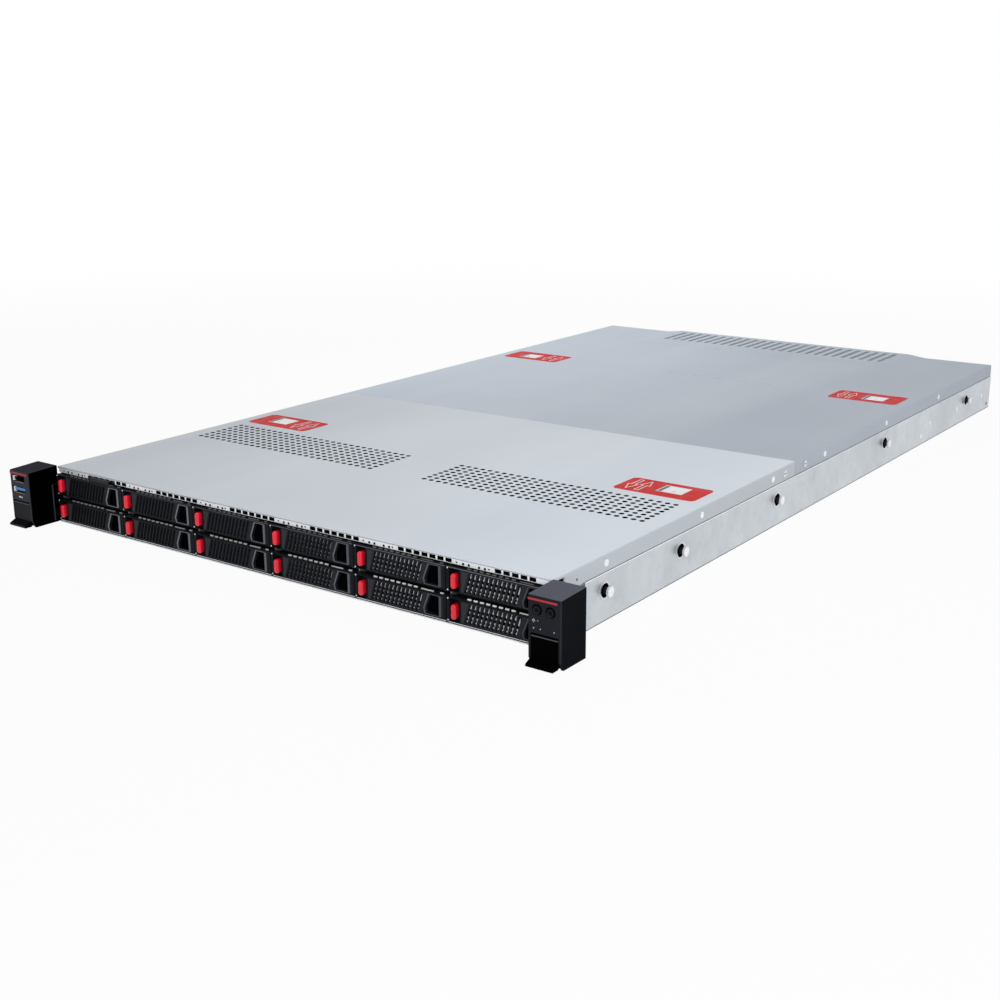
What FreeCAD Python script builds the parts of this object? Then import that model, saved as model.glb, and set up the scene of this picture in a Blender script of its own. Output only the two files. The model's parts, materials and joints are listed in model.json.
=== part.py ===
import FreeCAD, Part
import math
import os
import re
import Sketcher

# 1U rack server, millimetres.
# X runs across the rack, Y from the front to the rear, Z up.
# The origin lies on the chassis underside, on the centre line, in the plane where the rack ears
# meet the rack posts.

doc = FreeCAD.newDocument("rack_server")

# ---------------------------------------------------------------- driving dimensions

SIZES = [
    # whole server
    ("ear_span", 482.6, "outer edge to outer edge of the rack ears"),
    ("ear_reach", 21.9, "side panel to the ear's outer edge"),
    ("ear_lap", 0.1, "how far an ear stands inside the side panel's face"),
    ("chassis_depth", 776.0, "ear rear face to rear wall"),
    ("chassis_height", 42.0, "underside to cover top"),
    ("fit_gap", 0.3, "clearance between pieces that move past each other"),
    ("beyond", 1.0, "how far a cut runs past the faces it opens"),
    # chassis tray
    ("tray_sheet", 0.8, "tray sheet thickness"),
    ("side_height", 30.8, "top of the proud lower side panel"),
    ("cover_ledge", 0.5, "how far the lower side panel stands proud of the cover flange"),
    ("side_bend", 0.7, "bend radius of the long bottom edges"),
    ("floor_nose", 2.0, "floor lip in front of the ear plane"),
    ("wall_start", 2.3, "front edge of the tray side walls"),
    ("ear_leg_seat", 33.0, "length of the recessed side behind each ear"),
    # covers
    ("cover_sheet", 0.8, "cover sheet thickness"),
    ("cover_seam", 320.0, "joint between front and rear cover"),
    ("cover_front", 0.4, "front edge of the front cover"),
    ("flange_front", 12.0, "front edge of the front cover flange"),
    ("cover_bend", 1.0, "bend radius of the cover edges"),
    ("latch_edge", 35.2, "latch window centre from the side panel"),
    ("latch_front_y", 200.4, "front cover latch centre"),
    ("latch_rear_gap", 29.0, "rear cover latch centre in front of the power supplies"),
    ("latch_width", 20.0, "latch window across"),
    ("latch_length", 16.5, "latch window along"),
    ("latch_plate", 1.2, "latch plate thickness"),
    ("latch_lock_hole", 3.6, "hole in the latch plate"),
    ("latch_stem", 4.0, "latch stem length below the plate"),
    ("latch_stem_width", 7.0, "latch stem thickness"),
    ("latch_lock_x", 1.7, "lock hole from the plate's middle, outwards"),
    ("latch_lock_y", 4.1, "lock hole from the plate's middle, forwards"),
    # raised louvre panel of the rear cover
    ("hump_rise", 2.2, "height of the raised louvre panel"),
    ("hump_centre", 4.0, "raised panel centre from the centre line"),
    ("hump_margin", 142.8, "cover width beside the raised panel"),
    ("hump_slope", 17.0, "width of one sloping side of the raised panel"),
    ("hump_wall", 3.0, "sheet left at the foot of the raised panel"),
    ("hump_length", 70.0, "raised panel length at its foot"),
    ("hump_ramp", 8.0, "length of the raised panel's front ramp"),
    ("louvre_count", 26, "louvre slots"),
    ("louvre_end", 5.55, "from the raised panel's crest to the first louvre's place"),
    ("louvre_width", 4.6, "louvre slot width"),
    ("louvre_length", 48.0, "louvre slot length"),
    ("louvre_margin", 8.0, "louvre slot end from the rear edge"),
    # drive bays
    ("bay_columns", 6, "drive bay columns"),
    ("bay_rows", 2, "drive bay rows"),
    ("bay_margin", 4.1, "chassis width left over by the bays"),
    ("row_pitch", 19.0, "bay spacing upwards"),
    ("row_base", 2.4, "lower bezel bottom edge"),
    ("divider", 1.0, "bay divider thickness"),
    ("shelf_sheet", 0.8, "shelf thickness"),
    ("cage_depth", 112.0, "rear edge of the dividers"),
    # drive carriers
    ("bezel_gap", 0.55, "gap between neighbouring bezels"),
    ("bezel_height", 15.4, "bezel height"),
    ("bezel_front", 3.0, "bezel face in front of the ear plane"),
    ("bezel_back", 2.0, "bezel rear face behind the ear plane"),
    ("bezel_rail", 0.5, "top and bottom rail thickness"),
    ("button_bay_start", 2.6, "left wall of the button recess"),
    ("button_bay_end", 10.0, "right wall of the button recess"),
    ("bezel_post", 1.0, "post between button recess and handle"),
    ("hinge_post_width", 1.95, "from the bay's right edge to the post behind the handle hinge"),
    ("sled_wall", 0.5, "sled side wall thickness"),
    ("sled_base", 0.8, "sled floor thickness"),
    ("sled_drop", 0.5, "top of the sled floor below the bezel's lower edge"),
    ("sled_end", 2.0, "from the sled's rear edge to the dividers' rear edge"),
    ("sled_wall_height", 9.0, "sled side wall height"),
    ("drive_margin", 2.6, "bay width left over by the drive"),
    ("plug_depth", 5.25, "depth of the plug between drive and backplane board"),
    ("drive_height", 15.0, "drive height"),
    ("drive_front", 6.0, "front face of the drive"),
    # carrier handle
    ("handle_thickness", 2.4, "handle plate thickness"),
    ("handle_pivot_margin", 3.45, "handle hinge axis from the bay's right edge"),
    ("handle_pivot_y", 2.0, "handle hinge axis in front of the ear plane"),
    ("handle_pin", 0.6, "hinge pin radius"),
    ("handle_pin_play", 0.1, "radial play round the hinge pin"),
    ("slot_count", 12, "grille slots in a handle"),
    ("slot_rib", 1.1, "rib between two grille slots"),
    ("slot_end", 4.9, "from the last grille slot's place to the grip window's foot"),
    ("slot_start", 13.7, "first grille slot at its foot, from the bay edge"),
    ("slot_lean", 4.0, "sideways lean of a grille slot"),
    ("slot_margin", 0.6, "frame left above and below the grille"),
    ("window_width", 10.85, "grip window width at its left point"),
    ("window_margin", 5.2, "grip window from the bay's right edge"),
    ("window_foot_cut", 0.6, "grip window's lower left corner from its left point"),
    ("window_head_cut", 3.8, "grip window's upper left corner from its left point"),
    ("window_waist", 4.6, "height of the window's left point"),
    # carrier release button
    ("button_width", 4.2, "release button width"),
    ("button_height", 9.5, "release button height"),
    ("button_base", 3.0, "release button's lower edge above the bezel's"),
    ("button_reach", 3.7, "release button in front of the bezel"),
    ("button_inside", 2.4, "release button behind the bezel face"),
    ("button_slant", 2.6, "cut corner of the release button"),
    # strip above the bays
    ("strip_sheet", 0.8, "strip thickness"),
    ("strip_bottom", 37.9, "strip's lower edge"),
    ("strip_flange", 22.0, "strip's flange depth"),
    ("strip_slot_width", 4.5, "strip slot width"),
    ("strip_slot_height", 2.2, "strip slot height"),
    ("strip_slot_pitch", 6.08, "strip slot spacing"),
    ("strip_slots", 7, "slots in the strip over one bay"),
    ("strip_last_slots", 5, "slots in the strip over the last bay"),
    ("strip_slot_first", 33.9, "first strip slot from the bay edge"),
    ("strip_slot_base", 38.5, "strip slot's lower edge"),
    ("tab_gap_start", 32.9, "information tab gap from the first bay edge"),
    ("tab_gap_width", 30.0, "information tab gap width"),
    ("tab_sheet", 1.4, "information tab thickness"),
    ("tab_length", 40.0, "information tab length"),
    ("tab_grip", 2.2, "information tab grip in front of the strip"),
    ("tab_grip_inset", 4.0, "grip from the tab's side"),
    ("tab_grip_taper", 2.0, "how much the grip narrows towards its foot"),
    # rack ears
    ("ear_depth", 25.0, "ear depth in front of the rack post"),
    ("ear_top", 42.4, "ear top at the rack post"),
    ("ear_top_drop", 1.0, "fall of the ear top towards the front"),
    ("ear_bottom", 0.3, "ear underside"),
    ("ear_chin", 2.6, "slope at the ear's lower front edge"),
    ("ear_round", 0.8, "ear edge radius"),
    ("ear_cheek", 1.7, "cheeks beside the ear lever"),
    ("ear_leg_margin", 2.0, "ear leg below the side panel's top and above the underside"),
    ("ear_leg_reach", 6.0, "leg in front of the rack post plane"),
    ("lever_top", 19.2, "upper edge of the ear lever"),
    ("lever_thickness", 3.6, "ear lever thickness"),
    ("lever_inset", 0.2, "ear lever behind the ear face"),
    ("lever_lip", 5.4, "ear lever lip in front of the ear face"),
    ("lever_lip_top", 5.2, "where the lip leaves the lever"),
    ("lever_lip_edge", 2.6, "upper edge of the lip's nose"),
    ("lever_base", 1.1, "underside of the lip"),
    ("lever_pin", 1.0, "ear lever pivot radius"),
    ("lever_pin_length", 1.0, "ear lever pivot length"),
    ("lever_pin_play", 0.1, "radial play round the ear lever pivot"),
    ("port_width", 13.6, "USB port opening width"),
    ("port_height", 5.1, "USB port opening height"),
    ("port_depth", 12.0, "USB port depth"),
    ("port_upper_z", 35.7, "upper USB port height"),
    ("port_lower_z", 27.4, "lower USB port height"),
    ("port_offset", 9.9, "USB port centre from the ear's outer edge"),
    ("tongue_width", 11.2, "USB contact tongue width"),
    ("tongue_height", 1.9, "USB contact tongue thickness"),
    ("tongue_inset", 1.0, "USB contact tongue behind the face"),
    ("key_radius", 2.5, "front button radius"),
    ("key_length", 6.0, "front button length"),
    ("key_rise", 0.5, "front button in front of the ear face"),
    ("key_socket", 9.0, "depth of the front button holes"),
    ("key_z", 33.4, "front button height"),
    ("key_inner", 6.1, "inner front button from the ear's inner edge"),
    ("key_outer", 15.0, "outer front button from the ear's inner edge"),
    # rail studs
    ("stud_neck", 2.0, "stud neck radius"),
    ("stud_head", 3.8, "stud head radius"),
    ("stud_head_thickness", 1.2, "stud head thickness"),
    ("stud_reach", 4.6, "stud head face from the side panel"),
    ("stud_z", 19.8, "stud height"),
    # inside
    ("backplane_sheet", 2.0, "drive backplane thickness"),
    ("backplane_foot", 1.1, "drive backplane lower edge"),
    ("backplane_top", 38.0, "drive backplane upper edge"),
    ("connector_width", 33.0, "drive connector width"),
    ("connector_height", 5.0, "drive connector height"),
    ("connector_lift", 2.0, "drive connector above the bezel's lower edge"),
    ("fan_count", 6, "fans in the row"),
    ("fan_size", 40.0, "fan frame height and width"),
    ("fan_depth", 28.0, "fan frame depth"),
    ("fan_margin", 30.8, "chassis width left over by the fans"),
    ("fan_strut", 3.0, "strut behind a fan rotor"),
    ("fan_inset", 1.0, "fan rotor behind the frame's front"),
    ("fan_front", 232.0, "front face of the fans"),
    ("fan_bore", 18.8, "fan bore radius"),
    ("fan_hub", 8.5, "fan hub radius"),
    ("fan_blades", 5, "blades on a rotor"),
    ("fan_blade", 1.2, "blade thickness"),
    ("fan_tip_gap", 0.6, "gap at the blade tips"),
    ("board_front", 275.0, "main board front edge"),
    ("board_clearance", 5.0, "gap between the main board and the power supply stop"),
    ("board_margin", 38.8, "chassis width left beside the main board"),
    ("standoff_margin", 10.0, "standoffs from the board's edges"),
    ("board_sheet", 1.6, "main board thickness"),
    ("board_lift", 5.2, "main board above the floor"),
    ("standoff_radius", 3.0, "standoff radius"),
    ("cooler_width", 78.0, "processor cooler width"),
    ("cooler_length", 108.0, "processor cooler length"),
    ("cooler_height", 25.0, "processor cooler height"),
    ("cooler_base", 4.0, "processor cooler base thickness"),
    ("cooler_fins", 11, "grooves between the fins"),
    ("cooler_groove", 4.0, "groove width"),
    ("cooler_x", 95.0, "processor cooler centre from the centre line"),
    ("cooler_y", 300.0, "processor cooler front edge"),
    ("memory_pitch", 9.0, "memory module spacing"),
    ("memory_start", 5.4, "first memory module from the cooler"),
    ("memory_length", 133.0, "memory module length"),
    ("memory_height", 30.0, "memory module height"),
    ("memory_sheet", 3.0, "memory module with its socket"),
    ("memory_count", 4, "modules on one side of a cooler"),
    # rear
    ("supply_width", 73.5, "power supply width"),
    ("supply_height", 39.5, "power supply height"),
    ("supply_length", 185.0, "power supply length"),
    ("supply_stop", 6.0, "stop in front of the power supplies"),
    ("supply_stop_height", 16.0, "height of that stop"),
    ("supply_handle_reach", 20.0, "power supply handle behind the rear wall"),
    ("supply_handle_bar", 4.0, "power supply handle thickness"),
    ("inlet_width", 24.0, "inlet opening width"),
    ("inlet_height", 16.5, "inlet opening height"),
    ("inlet_depth", 15.0, "inlet opening depth"),
    ("inlet_offset", 6.0, "inlet from the power supply's left side"),
    ("inlet_lift", 5.0, "inlet above the power supply's underside"),
    ("pin_spacing", 7.0, "inlet pins from the middle pin, sideways"),
    ("pin_lift", 5.5, "outer inlet pins above the inlet's foot"),
    ("pin_rise", 4.0, "middle inlet pin above the outer ones"),
    ("pin_width", 2.0, "inlet pin width"),
    ("pin_height", 4.0, "inlet pin height"),
    ("pin_inset", 3.0, "inlet pin tips inside the mouth"),
    ("supply_handle_offset", 38.0, "pull handle from the power supply's left side"),
    ("supply_handle_width", 30.0, "pull handle width"),
    ("supply_handle_lift", 12.0, "pull handle above the power supply's underside"),
    ("supply_handle_height", 14.0, "pull handle height"),
    ("jack_width", 12.0, "network jack opening width"),
    ("jack_height", 9.0, "network jack opening height"),
    ("jack_depth", 12.0, "network jack opening depth"),
    ("rear_margin", 4.8, "first rear window from the power supply bays"),
    ("rear_spacing", 4.0, "wall between two rear windows"),
    ("rear_base", 4.0, "lower edge of the socket windows"),
    ("socket_wall", 2.0, "shell round a socket opening"),
    ("socket_depth", 21.0, "depth of the sockets behind the wall"),
    ("video_width", 31.0, "video socket width"),
    ("video_height", 12.5, "video socket height"),
    ("video_inset", 8.0, "video shell from the socket's side"),
    ("video_taper", 1.5, "how much the video shell widens upwards"),
    ("video_reach", 5.0, "video shell behind the rear wall"),
    ("slot_cover_width", 112.0, "expansion slot cover width"),
    ("slot_cover_height", 15.0, "expansion slot cover height"),
    ("slot_cover_lap", 2.0, "slot cover over the window's edge"),
    ("slot_base", 3.5, "lower edge of the lower slot window"),
    ("slot_step", 18.0, "upper slot window above the lower one"),
]

# Sizes that follow from the driving ones.
DERIVED = {
    "chassis_width": "ear_span - 2 * ear_reach",
    "ear_width": "ear_reach + ear_lap",
    "latch_x": "chassis_width / 2 - latch_edge",
    "latch_rear_y": "chassis_depth - supply_length - latch_rear_gap",
    "hump_foot": "chassis_width - hump_margin",
    "hump_crest": "hump_foot - 2 * hump_slope",
    "louvre_pitch": "(hump_crest - 2 * louvre_end) / louvre_count",
    "bay_pitch": "(chassis_width - bay_margin) / bay_columns",
    "hinge_post": "bay_pitch - hinge_post_width",
    "sled_length": "cage_depth - sled_end",
    "drive_width": "bay_pitch - drive_margin",
    "drive_length": "cage_depth - plug_depth - fit_gap - drive_front",
    "handle_pivot_x": "bay_pitch - handle_pivot_margin",
    "window_right": "bay_pitch - window_margin",
    "window_left": "window_right - window_width",
    "window_foot": "window_left + window_foot_cut",
    "window_head": "window_left + window_head_cut",
    "slot_pitch": "(window_foot - slot_start - slot_end) / slot_count",
    "slot_width": "slot_pitch - slot_rib",
    "fan_pitch": "(chassis_width - fan_margin) / fan_count",
    "board_width": "chassis_width - board_margin",
    "board_length": "chassis_depth - supply_length - supply_stop - board_clearance - board_front",
}

sheet = doc.addObject("Spreadsheet::Sheet", "sizes")
VALUE = {}
for row, (alias, value, note) in enumerate(SIZES, start=1):
    sheet.set("A%d" % row, note)
    sheet.set("B%d" % row, str(value))
    sheet.setAlias("B%d" % row, alias)
    VALUE[alias] = value
doc.recompute()

WORD = re.compile(r"[a-z][a-z_]*")


def cell(formula):
    """Turn plain size names in a formula into references to the spreadsheet."""
    def reference(found):
        word = found.group(0)
        if word in DERIVED:
            return "(%s)" % cell(DERIVED[word])
        return "sizes." + word if word in VALUE else word
    return WORD.sub(reference, str(formula))


def number(formula):
    """Present value of a formula of sizes."""
    return float(sheet.evalExpression(cell(formula)))


# ---------------------------------------------------------------- modelling helpers

CUTS = []
NODES = {}


def publish(name, piece):
    """Make a piece a node of the finished part, under its own name."""
    piece.Label = name
    NODES[name] = piece
    return piece


def new_body(name):
    return doc.addObject("PartDesign::Body", name)


def new_sketch(body, plane, start):
    """Sketch on one of the body's origin planes, moved to the level start."""
    role = plane + "_Plane"
    support = [feature for feature in body.Origin.OriginFeatures if feature.Role == role][0]
    sketch = body.newObject("Sketcher::SketchObject", body.Name + "_sketch")
    sketch.AttachmentSupport = [(support, "")]
    sketch.MapMode = "FlatFace"
    level = "-(%s)" % start if plane == "XZ" else start
    sketch.setExpression("AttachmentOffset.Base.z", cell(level))
    return sketch


def fix(sketch, kind, first, second, formula):
    """Add a dimension between two points and bind it to a formula."""
    index = sketch.addConstraint(Sketcher.Constraint(kind, *first, *second, number(formula)))
    sketch.setExpression("Constraints[%d]" % index, cell(formula))


def polygon(sketch, points):
    """Closed outline with every corner placed by formulas."""
    count = len(points)
    corners = [FreeCAD.Vector(number(across), number(up), 0) for across, up in points]
    sides = [Part.LineSegment(corners[i], corners[(i + 1) % count]) for i in range(count)]
    first = sketch.addGeometry(sides)[0]
    for i in range(count):
        following = first + (i + 1) % count
        sketch.addConstraint(Sketcher.Constraint("Coincident", first + i, 2, following, 1))
    for i, (across, up) in enumerate(points):
        fix(sketch, "DistanceX", (-1, 1), (first + i, 1), across)
        fix(sketch, "DistanceY", (-1, 1), (first + i, 1), up)


def rectangle(low_x, high_x, low_y, high_y):
    return [(low_x, low_y), (high_x, low_y), (high_x, high_y), (low_x, high_y)]


def circle(sketch, across, up, radius):
    centre = FreeCAD.Vector(number(across), number(up), 0)
    ring = sketch.addGeometry(Part.Circle(centre, FreeCAD.Vector(0, 0, 1), number(radius)))
    fix(sketch, "DistanceX", (-1, 1), (ring, 3), across)
    fix(sketch, "DistanceY", (-1, 1), (ring, 3), up)
    index = sketch.addConstraint(Sketcher.Constraint("Radius", ring, number(radius)))
    sketch.setExpression("Constraints[%d]" % index, cell(radius))


def ring(across, up, radius, sides):
    """Corners of a regular outline round a centre."""
    turns = [2 * math.pi * index / sides for index in range(sides)]
    return [("%s + (%s) * %.6f" % (across, radius, math.cos(turn)),
             "%s + (%s) * %.6f" % (up, radius, math.sin(turn))) for turn in turns]


def shape_outlines(sketch, outlines):
    """Draw polygons, given as lists of points, and circles, given as (x, y, radius)."""
    for item in outlines:
        if isinstance(item, tuple):
            circle(sketch, *item)
        else:
            polygon(sketch, item)


def pad(body, plane, start, length, *outlines):
    """Add material from the level start, along the plane's positive axis."""
    sketch = new_sketch(body, plane, start)
    shape_outlines(sketch, outlines)
    feature = body.newObject("PartDesign::Pad", body.Name + "_pad")
    feature.Profile = sketch
    feature.setExpression("Length", cell(length))
    feature.Reversed = plane == "XZ"
    return feature


def pocket(body, plane, start, length, *outlines):
    """Remove material from the level start, along the plane's positive axis."""
    sketch = new_sketch(body, plane, start)
    shape_outlines(sketch, outlines)
    feature = body.newObject("PartDesign::Pocket", body.Name + "_pocket")
    feature.Profile = sketch
    feature.setExpression("Length", cell(length))
    feature.Reversed = plane != "XZ"
    CUTS.append(feature)
    return feature


def repeat(body, feature, *steps):
    """Repeat a feature along its sketch's axes: each step is (axis, count, pitch)."""
    sketch = feature.Profile[0]
    multi = body.newObject("PartDesign::MultiTransform", body.Name + "_grid")
    multi.Originals = [feature]
    patterns = []
    for axis, count, pitch in steps:
        pattern = body.newObject("PartDesign::LinearPattern", body.Name + "_row")
        pattern.Direction = (sketch, [axis])
        pattern.setExpression("Occurrences", cell(count))
        pattern.setExpression("Length", cell("(%s - 1) * %s" % (count, pitch)))
        patterns.append(pattern)
    multi.Transformations = patterns
    body.Tip = multi
    return multi


def edges_along(shape, axes, test):
    """Names of the straight edges along the given axes whose two ends both pass the test."""
    names = []
    for index, edge in enumerate(shape.Edges, start=1):
        ends = [vertex.Point for vertex in edge.Vertexes]
        if len(ends) != 2 or not all(test(point) for point in ends):
            continue
        run = [abs(getattr(ends[1] - ends[0], letter)) > 0.001 for letter in "xyz"]
        if sum(run) == 1 and "XYZ"[run.index(True)] in axes:
            names.append("Edge%d" % index)
    return names


def soften(body, kind, size, axes, test):
    """Fillet or chamfer the tip's edges along some axes that pass the test."""
    doc.recompute()
    tip = body.Tip
    names = edges_along(tip.Shape, axes, test)
    if not names:
        raise ValueError("no edge to soften on " + body.Name)
    feature = body.newObject("PartDesign::" + kind, body.Name + "_" + kind.lower())
    feature.Base = (tip, names)
    feature.setExpression("Radius" if kind == "Fillet" else "Size", cell(size))
    return feature


def near(value, formula, reach=0.01):
    return abs(value - number(formula)) < reach


def box(name, low, high):
    """Block between two corners, each given by three formulas."""
    block = doc.addObject("Part::Box", name)
    for side, first, last in zip(("Length", "Width", "Height"), low, high):
        block.setExpression(side, cell("(%s) - (%s)" % (last, first)))
    for axis, first in zip("xyz", low):
        block.setExpression("Placement.Base." + axis, cell(first))
    return block


TURN = {
    "X": FreeCAD.Rotation(FreeCAD.Vector(0, 1, 0), 90),
    "Y": FreeCAD.Rotation(FreeCAD.Vector(1, 0, 0), -90),
    "Z": FreeCAD.Rotation(),
}


def rod(name, axis, start, radius, length, sides):
    """Many-sided bar from a start point along +X, +Y or +Z."""
    bar = doc.addObject("Part::Prism", name)
    bar.Polygon = sides
    bar.setExpression("Circumradius", cell(radius))
    bar.setExpression("Height", cell(length))
    bar.Placement = FreeCAD.Placement(FreeCAD.Vector(), TURN[axis])
    return move(bar, *start)


def group(name, pieces):
    """Several separate solids in one object."""
    bundle = doc.addObject("Part::Compound", name)
    bundle.Links = pieces
    return bundle


def fuse(name, pieces):
    union = doc.addObject("Part::MultiFuse", name)
    union.Shapes = pieces
    return union


def subtract(name, base, tool):
    result = doc.addObject("Part::Cut", name)
    result.Base = base
    result.Tool = tool
    return result


def move(piece, x=None, y=None, z=None):
    for letter, formula in (("x", x), ("y", y), ("z", z)):
        if formula is not None:
            piece.setExpression("Placement.Base." + letter, cell(formula))
    return piece


# ---------------------------------------------------------------- shared places

SIDE = "(chassis_width / 2)"
FLANGE = "(%s - cover_ledge)" % SIDE
UPPER_SIDE = "(%s - cover_sheet - fit_gap)" % FLANGE
UPPER_INSIDE = "(%s - tray_sheet)" % UPPER_SIDE
WALL_TOP = "(chassis_height - cover_sheet - fit_gap)"
COVER_UNDERSIDE = "(chassis_height - cover_sheet)"
FLANGE_FOOT = "(side_height + fit_gap)"
BAYS_LEFT = "(-bay_pitch * bay_columns / 2)"
SHELF_TOP = "(row_base + row_pitch - sled_base - sled_drop - fit_gap)"
SUPPLY_FRONT = "(chassis_depth - supply_length)"
SUPPLY_OUTER = "(fit_gap - %s)" % UPPER_INSIDE
SUPPLY_STEP = "(supply_width + 2 * fit_gap + divider)"
SUPPLY_END = "(%s + 2 * %s - fit_gap)" % (SUPPLY_OUTER, SUPPLY_STEP)


def across(sign, first, last):
    """Left and right edge of a span that runs outwards on the side of the given sign."""
    return (first, last) if sign > 0 else ("-(%s)" % last, "-(%s)" % first)


def mirrored(points):
    """The same outline on the other side of the centre line."""
    return [("-(%s)" % across, up) for across, up in reversed(points)]


# ---------------------------------------------------------------- chassis tray

def chassis_tray():
    """Sheet tray: floor, stepped sides and the power supply bay walls."""
    inside = SIDE + " - tray_sheet"
    step = "side_height - tray_sheet"
    rear = "chassis_depth"
    floor = new_body("tray_floor")
    edge = [(UPPER_SIDE, "-floor_nose"), (UPPER_SIDE, "ear_leg_seat"), (inside, "ear_leg_seat"),
            (inside, rear)]
    pad(floor, "XY", "0", "tray_sheet", edge + mirrored(edge))
    pieces = [floor]
    for sign in (1, -1):
        panel = new_body("tray_side")
        pad(panel, "XZ", "ear_leg_seat", rear + " - ear_leg_seat",
            rectangle(*across(sign, inside, SIDE), "0", "side_height"))
        soften(panel, "Fillet", "side_bend", "Y",
               lambda point: near(point.z, "0") and near(abs(point.x), SIDE))
        pieces.append(panel)
        plates = {
            "tray_ledge": (inside, "ear_leg_seat", rear, step, "side_height"),
            "tray_upper_side": (UPPER_SIDE, "ear_leg_seat", rear, "side_height", WALL_TOP),
            "tray_front_side": (UPPER_SIDE, "wall_start", "ear_leg_seat", "tray_sheet", WALL_TOP),
            "tray_jamb": (inside, "ear_leg_seat", "ear_leg_seat + tray_sheet", "tray_sheet", step),
        }
        for name, (outer, front, back, low, high) in plates.items():
            left, right = across(sign, UPPER_INSIDE, outer)
            pieces.append(box(name, (left, front, low), (right, back, high)))
    stop_front = SUPPLY_FRONT + " - supply_stop"
    stop_back = stop_front + " + tray_sheet"
    for count in (1, 2):
        edge = "%s + %d * %s - fit_gap" % (SUPPLY_OUTER, count, SUPPLY_STEP)
        pieces.append(box("supply_wall", (edge + " - divider", stop_back, "tray_sheet"),
                          (edge, rear, WALL_TOP)))
    pieces.append(box("supply_stop_plate", ("-" + UPPER_INSIDE, stop_front, "tray_sheet"),
                      (SUPPLY_END, stop_back, "supply_stop_height")))
    return publish("chassis_tray", group("chassis_tray", pieces))


def rear_windows():
    """Rear wall windows beside the power supplies: left and right edge, foot and head."""
    jack = ("jack_width + 2 * socket_wall", "jack_height + 2 * socket_wall")
    sizes = {
        "network_one": jack,
        "network_two": jack,
        "usb_pair": ("port_width + 2 * socket_wall", "2 * port_height + 3 * socket_wall"),
        "video": ("video_width", "video_height"),
    }
    windows = {}
    left = SUPPLY_END + " + rear_margin"
    for name, (width, height) in sizes.items():
        windows[name] = (left, "%s + %s" % (left, width), "rear_base", "rear_base + " + height)
        left = "%s + %s + rear_spacing" % (left, width)
    right = left + " + slot_cover_width - 2 * slot_cover_lap"
    for name, base in (("lower_slot", "slot_base"), ("upper_slot", "slot_base + slot_step")):
        windows[name] = (left, right, base, base + " + slot_cover_height - 2 * slot_cover_lap")
    return windows


def rear_wall(windows):
    """Plates under, between and over the sockets, and one plate round the slot windows."""
    inside = SIDE + " - tray_sheet"
    step = "side_height - tray_sheet"
    front = "chassis_depth - tray_sheet"
    split = windows["upper_slot"][0] + " - rear_spacing / 2"
    plates = [(SUPPLY_END, split, "tray_sheet", "rear_base")]
    post_left = SUPPLY_END
    for name in ("network_one", "network_two", "usb_pair", "video"):
        left, right, base, head = windows[name]
        plates.append((post_left, left, "rear_base", WALL_TOP))
        plates.append((left, right, head, WALL_TOP))
        post_left = right
    plates.append((post_left, split, "rear_base", WALL_TOP))
    pieces = [box("rear_plate", (left, front, low), (right, "chassis_depth", high))
              for left, right, low, high in plates]
    side = new_body("rear_side_plate")
    pad(side, "XZ", front, "tray_sheet",
        [(split, "tray_sheet"), (inside, "tray_sheet"), (inside, step), (UPPER_INSIDE, step),
         (UPPER_INSIDE, WALL_TOP), (split, WALL_TOP)])
    pocket(side, "XZ", "chassis_depth - 2 * tray_sheet", "3 * tray_sheet",
           rectangle(*windows["upper_slot"]), rectangle(*windows["lower_slot"]))
    return pieces + [side]


def network_jack(window):
    """Jack shell: a back block and four walls round the plug's space."""
    left, right, base, head = window
    front = "chassis_depth - socket_depth"
    back = "chassis_depth - jack_depth"
    rear = "chassis_depth"
    floor = base + " + socket_wall"
    roof = head + " - socket_wall"
    corners = {
        "jack_back": ((left, front, base), (right, back, head)),
        "jack_floor": ((left, back, base), (right, rear, floor)),
        "jack_roof": ((left, back, roof), (right, rear, head)),
        "jack_left": ((left, back, floor), (left + " + socket_wall", rear, roof)),
        "jack_right": ((right + " - socket_wall", back, floor), (right, rear, roof)),
    }
    return [box(name, low, high) for name, (low, high) in corners.items()]


def socket(name, window):
    """Block that fills a window and reaches forward."""
    body = new_body(name)
    pad(body, "XZ", "chassis_depth - socket_depth", "socket_depth", rectangle(*window))
    return body


def usb_pair(window):
    """Two stacked ports, each with its tongue."""
    left, right, base, head = window
    middle = "(%s + %s) / 2" % (left, right)
    tongue_rise = "(port_height - tongue_height) / 2"
    ports = []
    tongues = []
    for rise in ("socket_wall", "2 * socket_wall + port_height"):
        foot = "%s + %s" % (base, rise)
        ports.append(rectangle(middle + " - port_width / 2", middle + " + port_width / 2",
                               foot, foot + " + port_height"))
        tongue_foot = "%s + %s" % (foot, tongue_rise)
        tongues.append(rectangle(middle + " - tongue_width / 2", middle + " + tongue_width / 2",
                                 tongue_foot, tongue_foot + " + tongue_height"))
    body = socket("usb_pair", window)
    pocket(body, "XZ", "chassis_depth - port_depth", "port_depth", *ports)
    pad(body, "XZ", "chassis_depth - port_depth", "port_depth - tongue_inset", *tongues)
    return body


def video_socket(window):
    """Block with a tapered shell standing behind the wall."""
    left, right, base, head = window
    foot = base + " + socket_wall"
    top = head + " - socket_wall"
    foot_left = left + " + video_inset"
    foot_right = right + " - video_inset"
    body = socket("video", window)
    pad(body, "XZ", "chassis_depth", "video_reach",
        [(foot_left, foot), (foot_right, foot),
         (foot_right + " + video_taper", top), (foot_left + " - video_taper", top)])
    return body


def slot_cover(window):
    """Blank plate inside the wall, lapping over a slot window's edges."""
    left, right, base, head = window
    lap = " - slot_cover_lap"
    reach = " + slot_cover_lap"
    return box("slot_cover", (left + lap, "chassis_depth - 2 * tray_sheet", base + lap),
               (right + reach, "chassis_depth - tray_sheet", head + reach))


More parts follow.
